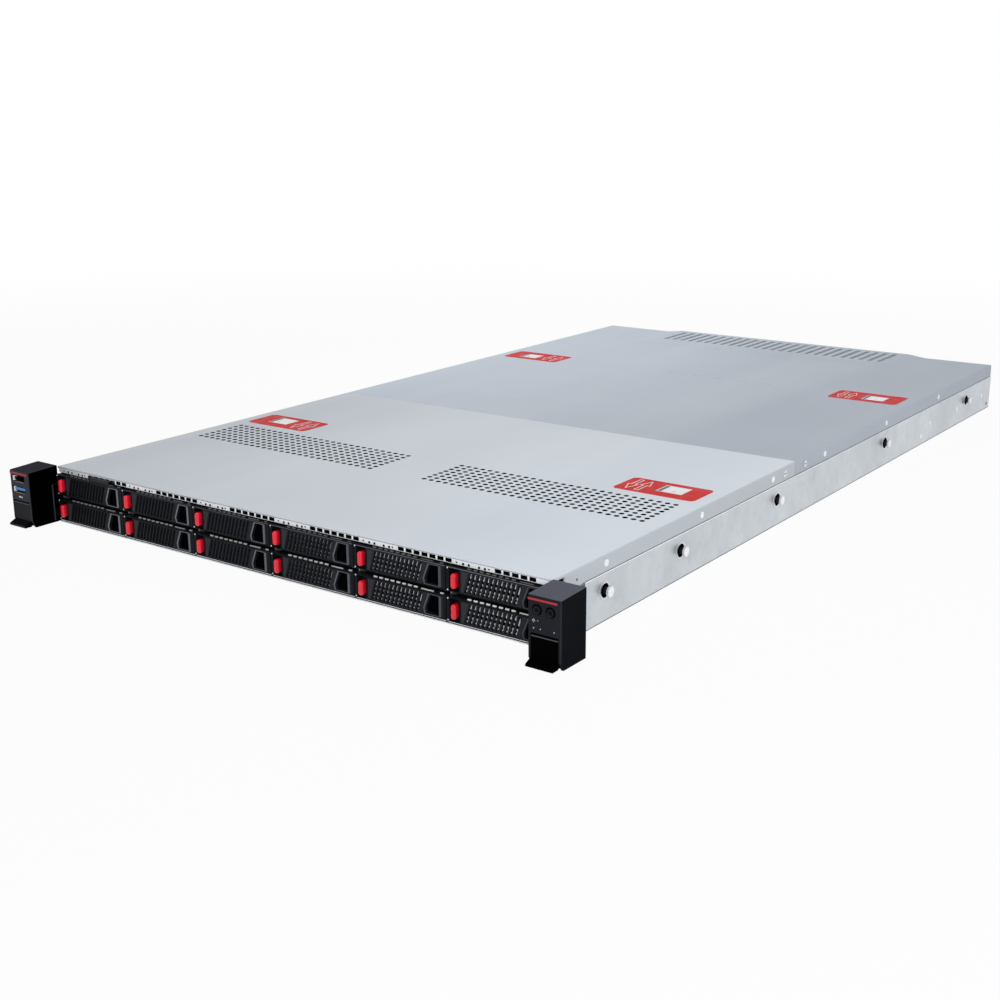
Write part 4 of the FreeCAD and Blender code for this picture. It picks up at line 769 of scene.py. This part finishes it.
LEFT_EAR_LOW = corners("left_ear")[0]
RIGHT_EAR_LOW = corners("right_ear")[0]
EAR_FACE = -LEFT_EAR_LOW.y
PORT_OFFSET = 9.9
PORT_LEVELS = {"upper": 35.7, "lower": 27.4}
TONGUE_HALF = 5.65


def usb_ports():
    """Dark upper port with a pale wall and lower port with a blue tongue."""
    middle = LEFT_EAR_LOW.x + PORT_OFFSET
    upper = PORT_LEVELS["upper"]
    lower = PORT_LEVELS["lower"]
    for name, level in PORT_LEVELS.items():
        walls = [oblong(middle - 6.7, middle - 6.0, level - 1.9, level + 1.9)]
        sheet_piece("port_wall_" + name, walls, 4.4, "front", EAR_FACE - 4.6, "chassis",
                    WHITE_METAL_AND_HIGHLIGHT, edge=0.1)
        contacts = [oblong(middle - 5.6, middle + 5.9, level - 2.5, level - 2.3)]
        deep = 2.0 if name == "lower" else 0.8
        sheet_piece("port_contacts_" + name, contacts, deep, "front", EAR_FACE - deep - 0.2,
                    "chassis", BRASS, edge=0.08)
    tongue = [oblong(middle - TONGUE_HALF, middle + TONGUE_HALF, upper - 1.0, upper + 1.0)]
    sheet_piece("port_tongue_upper", tongue, 10.6, "front", EAR_FACE - 11.6, "chassis",
                CHIP_BLACK_AND_SHADE, edge=0.15)
    tongue = [oblong(middle - TONGUE_HALF, middle + TONGUE_HALF, lower - 0.2, lower + 1.5)]
    sheet_piece("port_tongue_lower", tongue, 10.8, "front", EAR_FACE - 11.4, "chassis",
                USB_BLUE, edge=0.15)


def ear_details():
    """Red bars, ports and small generic marks of the ears, painted highlight lines along the
    top and lip edge of the levers.
    """
    bars = {"left": oblong(LEFT_EAR_LOW.x + 0.3, LEFT_EAR_LOW.x + 19.9, 39.0, 40.4),
            "right": oblong(RIGHT_EAR_LOW.x + 1.5, RIGHT_EAR_LOW.x + 20.9, 38.5, 39.7)}
    for side, bar in bars.items():
        sheet_piece(side + "_ear_bar", [bar], 0.2, "front", EAR_FACE, "chassis",
                    BAR_RED, edge=0.08)
    usb_ports()
    mark = [rounded(-232.9, -229.9, 21.7, 22.7, 0.45), disc(-229.0, 22.2, 0.55, 10)]
    sheet_piece("left_ear_mark", mark, MARK, "front", EAR_FACE + 0.01, "chassis",
                WHITE_INK)
    marks = [[(223.1, 27.9), (222.0, 26.8), (223.1, 25.7), (224.2, 26.8)],
             [(223.1, 27.4), (222.5, 26.8), (223.1, 26.2), (223.7, 26.8)],
             disc(225.9, 27.0, 0.3, 8)]
    marks += [disc(x, 22.4, 0.42, 8) for x in (223.1, 227.6, 236.7)]
    sheet_piece("right_ear_marks", marks, MARK, "front", EAR_FACE + 0.01, "chassis",
                MARK_GREY)
    for side in ("left", "right"):
        lever = side + "_ear_lever"
        low, high = corners(lever)
        middle = (low.x + high.x) / 2
        # Painted highlights along the lever's top and its lip.
        top_highlight_band = [oblong(middle - 8.8, middle + 8.8, 17.4, 18.0)]
        sheet_piece("lever_top_highlight_" + side, top_highlight_band, 0.2, "front", EAR_FACE - 0.2, lever,
                    EDGE_HIGHLIGHT_GREY, edge=0.08)
        edge = [oblong(low.x + 0.6, high.x - 0.6, low.z + 0.35, low.z + 0.65)]
        sheet_piece("lip_highlight_" + side, edge, 0.12, "front", -low.y - 0.14, lever,
                    EDGE_HIGHLIGHT_GREY, edge=0.04)


def key_rims():
    """Dark ring round each front button and a thin ring on its face."""
    for node in ("power_button", "locate_button"):
        low, high = corners(node)
        x, z = (low.x + high.x) / 2, (low.z + high.z) / 2
        radius = (high.x - low.x) / 2
        dark_sheet("key_ring_" + node, washer(x, z, radius + 0.8, radius + 0.3), MARK, "front",
                   EAR_FACE, "chassis")
        sheet_piece("key_face_" + node, washer(x, z, radius - 0.5, radius - 0.9), 0.05, "front",
                    -low.y, node, CHIP_BLACK_AND_SHADE, edge=0.02)


ear_details()
key_rims()

# ---------------------------------------------------------------- rear wall and power supplies

REAR_LOW, REAR_HIGH = corners("rear_panel")
JACK_LEFTS = (REAR_LOW.x + 4.8, REAR_LOW.x + 24.8)
JACK_WIDTH = 16.0
SOCKET_BASE = 4.0
USB_LEFT = REAR_LOW.x + 44.8
VIDEO_LEFT = REAR_LOW.x + 66.4
SLOTS_LEFT = REAR_LOW.x + 101.4
SLOTS_WIDE = 108.0
SLOT_BASES = (3.5, 21.5)
ROW_STEP = 0.87
WALL_VENT = (4.3, 1.45)
SLOT_VENT = (4.4, 1.3)
SUPPLY_VENT = (4.2, 1.5)
SUPPLY_TOP_VENT = (5.0, 1.6)
JACK_WIRES = 8
LINING_DROP = 1.1
INLET = (6.0, 30.0, 5.0, 21.5)
INLET_CENTRE = 18.0
INLET_PINS = ((-7, 0), (0, 4), (7, 0))


def rear_sheet(name, loops, thick, level, body, look, edge=0.0):
    """Sheet on a face that looks to the rear, with outlines given by X and height."""
    return sheet_piece(name, [[(-x, z) for x, z in loop] for loop in loops], thick, "rear",
                       level, body, look, edge)


def rear_dark_sheet(name, loops, thick, level, body):
    """Thin black sheet on a face that looks to the rear."""
    return rear_sheet(name, loops, thick, level, body, HOLE_AND_SHADE_BLACK)


def hole_field(left, right, low, high, pitch, radius):
    """Staggered round holes that fill a rectangle."""
    loops = []
    row = 0
    z = low
    while z <= high:
        x = left + (pitch / 2 if row % 2 else 0)
        while x <= right:
            loops.append(disc(x, z, radius, 10))
            x += pitch
        z += pitch * ROW_STEP
        row += 1
    return loops


def jack_details():
    """Black lining, gold contacts and two lamps of each network jack."""
    for number, left in enumerate(JACK_LEFTS, start=1):
        opening = (left + 2.0, left + JACK_WIDTH - 2.0, SOCKET_BASE + 2.0, SOCKET_BASE + 11.0)
        rear_sheet("jack_lining_%d" % number, [oblong(*opening), oblong(*grown(opening, -0.4))],
                   11.5, DEPTH - 11.8, "chassis", CHIP_BLACK_AND_SHADE)
        rear_sheet("jack_floor_%d" % number, [oblong(*opening)], 0.2, DEPTH - 12.0, "chassis",
                   CHIP_BLACK_AND_SHADE)
        wires = [oblong(opening[0] + 2.1 + i, opening[0] + 2.5 + i, opening[3] - 1.3,
                        opening[3] - 0.9) for i in range(JACK_WIRES)]
        rear_sheet("jack_contacts_%d" % number, wires, 7.0, DEPTH - 11.0, "chassis",
                   BRASS)
        lamps = [oblong(opening[0] + 0.3, opening[0] + 2.6, opening[3] + 0.4, opening[3] + 1.5),
                 oblong(opening[1] - 2.6, opening[1] - 0.3, opening[3] + 0.4, opening[3] + 1.5)]
        rear_sheet("jack_lamps_%d" % number, lamps, 0.15, DEPTH, "chassis",
                   LAMP_GREEN, edge=0.06)


def rear_usb_details():
    """Bright shells and blue tongues of the two stacked rear ports."""
    middle = USB_LEFT + 8.8
    shells = []
    tongues = []
    for foot in (SOCKET_BASE + 2.0, SOCKET_BASE + 9.1):
        shells.extend((oblong(middle - 7.3, middle + 7.3, foot - 0.5, foot + 5.6),
                       oblong(middle - 6.8, middle + 6.8, foot, foot + 5.1)))
        tongues.append(oblong(middle - TONGUE_HALF, middle + TONGUE_HALF, foot + 1.5,
                              foot + 3.6))
    rear_sheet("rear_port_rims", shells, 0.25, DEPTH, "chassis", BOARD_TIN,
               edge=0.08)
    rear_sheet("rear_port_tongues", tongues, 10.6, DEPTH - 11.4, "chassis",
               USB_BLUE, edge=0.12)


def video_details():
    """Blue face with fifteen contact holes and the two nuts of the video socket."""
    face = [(7.9 + VIDEO_LEFT, 6.5), (23.1 + VIDEO_LEFT, 6.5), (24.2 + VIDEO_LEFT, 14.0),
            (6.8 + VIDEO_LEFT, 14.0)]
    level = REAR_HIGH.y
    rear_sheet("video_face", [face], 0.15, level, "chassis", USB_BLUE,
               edge=0.05)
    contacts = [disc(VIDEO_LEFT + 15.5 + 2.3 * (i - 2) + 1.15 * (row % 2), 8.1 + 2.1 * row, 0.5,
                     8) for row in range(3) for i in range(5)]
    rear_dark_sheet("video_contacts", contacts, MARK, level + 0.15, "chassis")
    for side, x in (("left", VIDEO_LEFT + 3.2), ("right", VIDEO_LEFT + 27.8)):
        rear_sheet("video_nut_" + side, [disc(x, 10.25, 2.6, 6), disc(x, 10.25, 1.2, 12)], 2.4,
                   DEPTH, "chassis", LOOKS["stud_steel"], edge=0.2)


def slot_cover_details():
    """Vent holes and the screw of each blank expansion slot cover."""
    for number, base in enumerate(SLOT_BASES, start=1):
        holes = hole_field(SLOTS_LEFT + 6.0, SLOTS_LEFT + SLOTS_WIDE - 10.0, base + 3.0,
                           base + 9.0, *SLOT_VENT)
        rear_dark_sheet("slot_vents_%d" % number, holes, FILM, DEPTH - 0.79, "chassis")
        head = disc(SLOTS_LEFT + SLOTS_WIDE + 4.0, base + 5.5, 2.8, 20)
        rear_sheet("slot_screw_%d" % number, [head], 1.2, DEPTH, "chassis",
                   LOOKS["stud_steel"], edge=0.35)
        cross = [oblong(SLOTS_LEFT + SLOTS_WIDE + 2.4, SLOTS_LEFT + SLOTS_WIDE + 5.6,
                        base + 5.2, base + 5.8)]
        rear_dark_sheet("slot_screw_cut_%d" % number, cross, MARK, DEPTH + 1.2, "chassis")


def rear_vents():
    """Perforated fields of the rear wall."""
    above = hole_field(REAR_LOW.x + 5.0, SLOTS_LEFT - 6.0, 24.5, 37.5, *WALL_VENT)
    beside = hole_field(SLOTS_LEFT + SLOTS_WIDE + 12.0, TRAY_HIGH.x - 8.0, 6.0, 37.0,
                        *WALL_VENT)
    rear_dark_sheet("rear_vents", above + beside, FILM, DEPTH + 0.01, "chassis")


def louvre_lining():
    """Thin grey sheet that shows through the louvres of the raised panel."""
    top = corners("rear_cover")[1].z
    lining = [oblong(-124.0, 132.0, DEPTH - 57.5, DEPTH - 6.5)]
    sheet_piece("louvre_lining", lining, 0.3, "top", top - LINING_DROP, "rear_cover",
                LOUVRE_GREY)


def supply_details():
    """Grille, inlet frame, contacts, lamp, latch tab and grip sleeve of each power supply."""
    for name in ("power_supply_1", "power_supply_2"):
        low, high = corners(name)
        left = low.x
        foot = low.z
        inlet = (left + INLET[0], left + INLET[1], foot + INLET[2], foot + INLET[3])
        frame_outline = rounded(*grown(inlet, 1.4), 1.2)
        rear_sheet("inlet_frame_" + name, [frame_outline, oblong(*inlet)], 0.9, DEPTH, name,
                   CHIP_BLACK_AND_SHADE, edge=0.25)
        lining = [oblong(*inlet), oblong(*grown(inlet, -0.3))]
        rear_sheet("inlet_lining_" + name, lining, 14.6, DEPTH - 14.8, name,
                   CHIP_BLACK_AND_SHADE)
        pins = [rounded(left + INLET_CENTRE + across - 1.05,
                        left + INLET_CENTRE + across + 1.05, foot + 8.45 + rise,
                        foot + 12.55 + rise, 0.4) for across, rise in INLET_PINS]
        rear_sheet("inlet_pins_" + name, pins, 11.7, DEPTH - 14.7, name,
                   BRASS, edge=0.2)
        holes = hole_field(left + 5.0, left + 69.0, foot + 29.0, foot + 37.5, *SUPPLY_VENT)
        holes += hole_field(left + 40.0, left + 66.0, foot + 3.5, foot + 9.5, *SUPPLY_VENT)
        rear_dark_sheet("supply_vents_" + name, holes, FILM, DEPTH + 0.01, name)
        rear_sheet("supply_lamp_" + name, [disc(left + 34.0, foot + 25.0, 1.0, 14)], 0.3, DEPTH,
                   name, LAMP_GREEN, edge=0.1)
        tab = [rounded(left + 70.0, left + 72.6, foot + 9.0, foot + 28.0, 1.0)]
        rear_sheet("supply_tab_" + name, tab, 6.0, DEPTH, name, TAB_TEAL,
                   edge=0.5)
        sleeve = [rounded(left + 39.2, left + 66.8, high.y - 3.7, high.y - 0.3, 0.8)]
        sheet_piece("grip_sleeve_" + name, sleeve, 0.5, "top", foot + 26.0, name,
                    CHIP_BLACK_AND_SHADE, edge=0.2)
        vents = hole_field(left + 8.0, left + 66.0, low.y + 10.0, low.y + 40.0,
                           *SUPPLY_TOP_VENT)
        dark_sheet("supply_top_vents_" + name, vents, FILM, "top", high.z + 0.01, name)


jack_details()
rear_usb_details()
video_details()
slot_cover_details()
rear_vents()
louvre_lining()
supply_details()

# ---------------------------------------------------------------- inside

DRIVE_TOP = 14.5
LID_SHEET = 0.3
FAN_COUNT = 6
FAN_MARGIN = 30.8
BOARD_RISE = 6.8
CHIP_SIZE = 18
CHIPS = ((-30, 470), (40, 480), (110, 470))
CAN_COLUMNS = (-14, 0, 14)
CAN_ROWS = (300, 312, 324, 336, 348)


def drive_lids():
    """Pressed lid, blank label and four screws on each drive."""
    for bay, _, _, left, base in BAYS:
        body = "carrier_" + bay
        top = base + DRIVE_TOP
        lid = [rounded(left + 3.6, left + 68.9, 8.0, 104.0, 3.0)]
        sheet_piece("drive_lid_" + bay, lid, LID_SHEET, "top", top, body,
                    BOARD_TIN, edge=0.12)
        label = [rounded(left + 14.0, left + 58.0, 24.0, 78.0, 1.5)]
        sheet_piece("drive_label_" + bay, label, 0.06, "top", top + LID_SHEET, body,
                    WHITE_INK)
        screws = [disc(left + x, y, 1.6, 12) for x in (7.5, 65.0) for y in (13.0, 99.0)]
        sheet_piece("drive_screws_" + bay, screws, 0.25, "top", top + LID_SHEET, body,
                    LOOKS["stud_steel"], edge=0.1)


def fan_details():
    """Hub caps of the fan row."""
    low, high = corners("fan_row")
    step = (2 * HALF_WIDTH / MM - FAN_MARGIN) / FAN_COUNT
    for number in range(FAN_COUNT):
        x = step * (number - (FAN_COUNT - 1) / 2)
        middle = (low.z + high.z) / 2
        sheet_piece("fan_cap_%d" % (number + 1), washer(x, middle, 7.6, 2.0), 0.4, "front",
                    -low.y - 0.9, "chassis", MID_GREY_AND_SHADE, edge=0.15)


def board_details():
    """Chips and capacitor cans on the main board."""
    level = corners("main_board")[0].z + BOARD_RISE
    chips = [rounded(x, x + CHIP_SIZE, y, y + CHIP_SIZE, 0.6) for x, y in CHIPS]
    sheet_piece("board_chips", chips, 1.8, "top", level, "chassis", CHIP_BLACK_AND_SHADE,
                edge=0.2)
    cans = [disc(x, y, 3.2, 14) for x in CAN_COLUMNS for y in CAN_ROWS]
    sheet_piece("board_cans", cans, 8.0, "top", level, "chassis", BOARD_TIN,
                edge=0.4)


drive_lids()
fan_details()
board_details()

# ---------------------------------------------------------------- camera, floor and light

LENS = 50.83
SENSOR = 36.0
CAMERA_PLACE = (0.633396, -0.620298, 0.3052)
CAMERA_RIGHT = (0.80996795, 0.58644815, -0.00552216)
CAMERA_UP = (-0.15926217, 0.22900615, 0.96030815)
CAMERA_VIEW = (-0.56443554, 0.77693935, -0.27888665)
FLOOR_REACH = 6.0
FLOOR_LEVEL = -0.0004
FADE = (0.9, 1.8)
FADE_SHARE = (0.94, 1.0)
SOFT_LIGHT = 0.32


def make_camera():
    """Camera at the photograph's viewing angle."""
    camera = bpy.data.objects.new("camera", bpy.data.cameras.new("camera"))
    camera.data.sensor_width = SENSOR
    camera.data.lens = LENS
    camera.data.clip_end = 20.0
    bpy.context.scene.collection.objects.link(camera)
    axes = (Vector(CAMERA_RIGHT), Vector(CAMERA_UP), -Vector(CAMERA_VIEW))
    turn = Matrix(axes).transposed().to_4x4()
    camera.matrix_world = Matrix.Translation(CAMERA_PLACE) @ turn
    bpy.context.scene.camera = camera


def shown_rays(tree):
    """1 for rays from the camera, gloss and glass, 0 for the light on the object."""
    ray = add(tree, "ShaderNodeLightPath")
    total = ray.outputs["Is Camera Ray"]
    for kind in ("Is Glossy Ray", "Is Transmission Ray"):
        either = add(tree, "ShaderNodeMath", operation="MAXIMUM")
        tree.links.new(total, either.inputs[0])
        tree.links.new(ray.outputs[kind], either.inputs[1])
        total = either.outputs["Value"]
    return total


def make_floor():
    """Large pale floor that shows near white and keeps the object's shadow."""
    size, height = FLOOR_REACH, FLOOR_LEVEL
    mesh = bpy.data.meshes.new("floor")
    mesh.from_pydata([(-size, -size, height), (size, -size, height), (size, size, height),
                      (-size, size, height)], [], [(0, 1, 2, 3)])
    plane = bpy.data.objects.new("floor", mesh)
    bpy.context.scene.collection.objects.link(plane)
    look = bpy.data.materials.new("floor_white")
    look.use_nodes = True
    tree = look.node_tree
    tree.nodes.remove(tree.nodes["Principled BSDF"])
    matt = add(tree, "ShaderNodeBsdfDiffuse", {"Color": (0.85, 0.85, 0.86, 1)})
    glow = add(tree, "ShaderNodeEmission", {"Color": (1, 1, 1, 1), "Strength": 1.0})
    place = add(tree, "ShaderNodeTexCoord")
    away = add(tree, "ShaderNodeVectorMath", operation="LENGTH")
    tree.links.new(place.outputs["Object"], away.inputs[0])
    seen = add(tree, "ShaderNodeMixShader")
    tree.links.new(ranged(tree, away.outputs["Value"], *FADE, *FADE_SHARE), seen.inputs["Fac"])
    tree.links.new(matt.outputs["BSDF"], seen.inputs[1])
    tree.links.new(glow.outputs["Emission"], seen.inputs[2])
    chosen = add(tree, "ShaderNodeMixShader")
    tree.links.new(shown_rays(tree), chosen.inputs["Fac"])
    tree.links.new(matt.outputs["BSDF"], chosen.inputs[1])
    tree.links.new(seen.outputs["Shader"], chosen.inputs[2])
    tree.links.new(chosen.outputs["Shader"], tree.nodes["Material Output"].inputs["Surface"])
    mesh.materials.append(look)


def make_world():
    """Soft grey-white surroundings for light, plain white where they show."""
    world = bpy.data.worlds.new("studio")
    bpy.context.scene.world = world
    world.use_nodes = True
    tree = world.node_tree
    soft = tree.nodes["Background"]
    soft.inputs["Color"].default_value = (0.95, 0.97, 1.0, 1)
    soft.inputs["Strength"].default_value = SOFT_LIGHT
    white = add(tree, "ShaderNodeBackground", {"Color": (1, 1, 1, 1), "Strength": 1.0})
    choice = add(tree, "ShaderNodeMixShader")
    tree.links.new(shown_rays(tree), choice.inputs["Fac"])
    tree.links.new(soft.outputs["Background"], choice.inputs[1])
    tree.links.new(white.outputs["Background"], choice.inputs[2])
    tree.links.new(choice.outputs["Shader"], tree.nodes["World Output"].inputs["Surface"])


def lamp(name, place, target, size, power):
    """Soft rectangular lamp aimed at a point."""
    light = bpy.data.objects.new(name, bpy.data.lights.new(name, "AREA"))
    light.data.shape = "RECTANGLE"
    light.data.size, light.data.size_y = size
    light.data.energy = power
    bpy.context.scene.collection.objects.link(light)
    light.location = place
    light.visible_camera = False
    light.visible_glossy = False
    aim = Vector(target) - Vector(place)
    light.rotation_euler = aim.to_track_quat("-Z", "Y").to_euler()


make_camera()
make_floor()
make_world()
lamp("front_light", (0.9, -1.1, 0.5), (0.05, 0.0, 0), (1.3, 0.8), 13)
lamp("top_front_light", (0.3, 0.15, 0.8), (0.15, 0.12, 0), (0.6, 0.6), 0.8)
lamp("back_left_light", (-0.35, 0.75, 0.55), (-0.2, 0.6, 0), (0.4, 0.4), 1.05)
lamp("side_light", (1.3, 0.1, 0.6), (0.2, 0.3, 0), (0.8, 0.6), 3.6)

bpy.context.scene.view_settings.view_transform = "Standard"
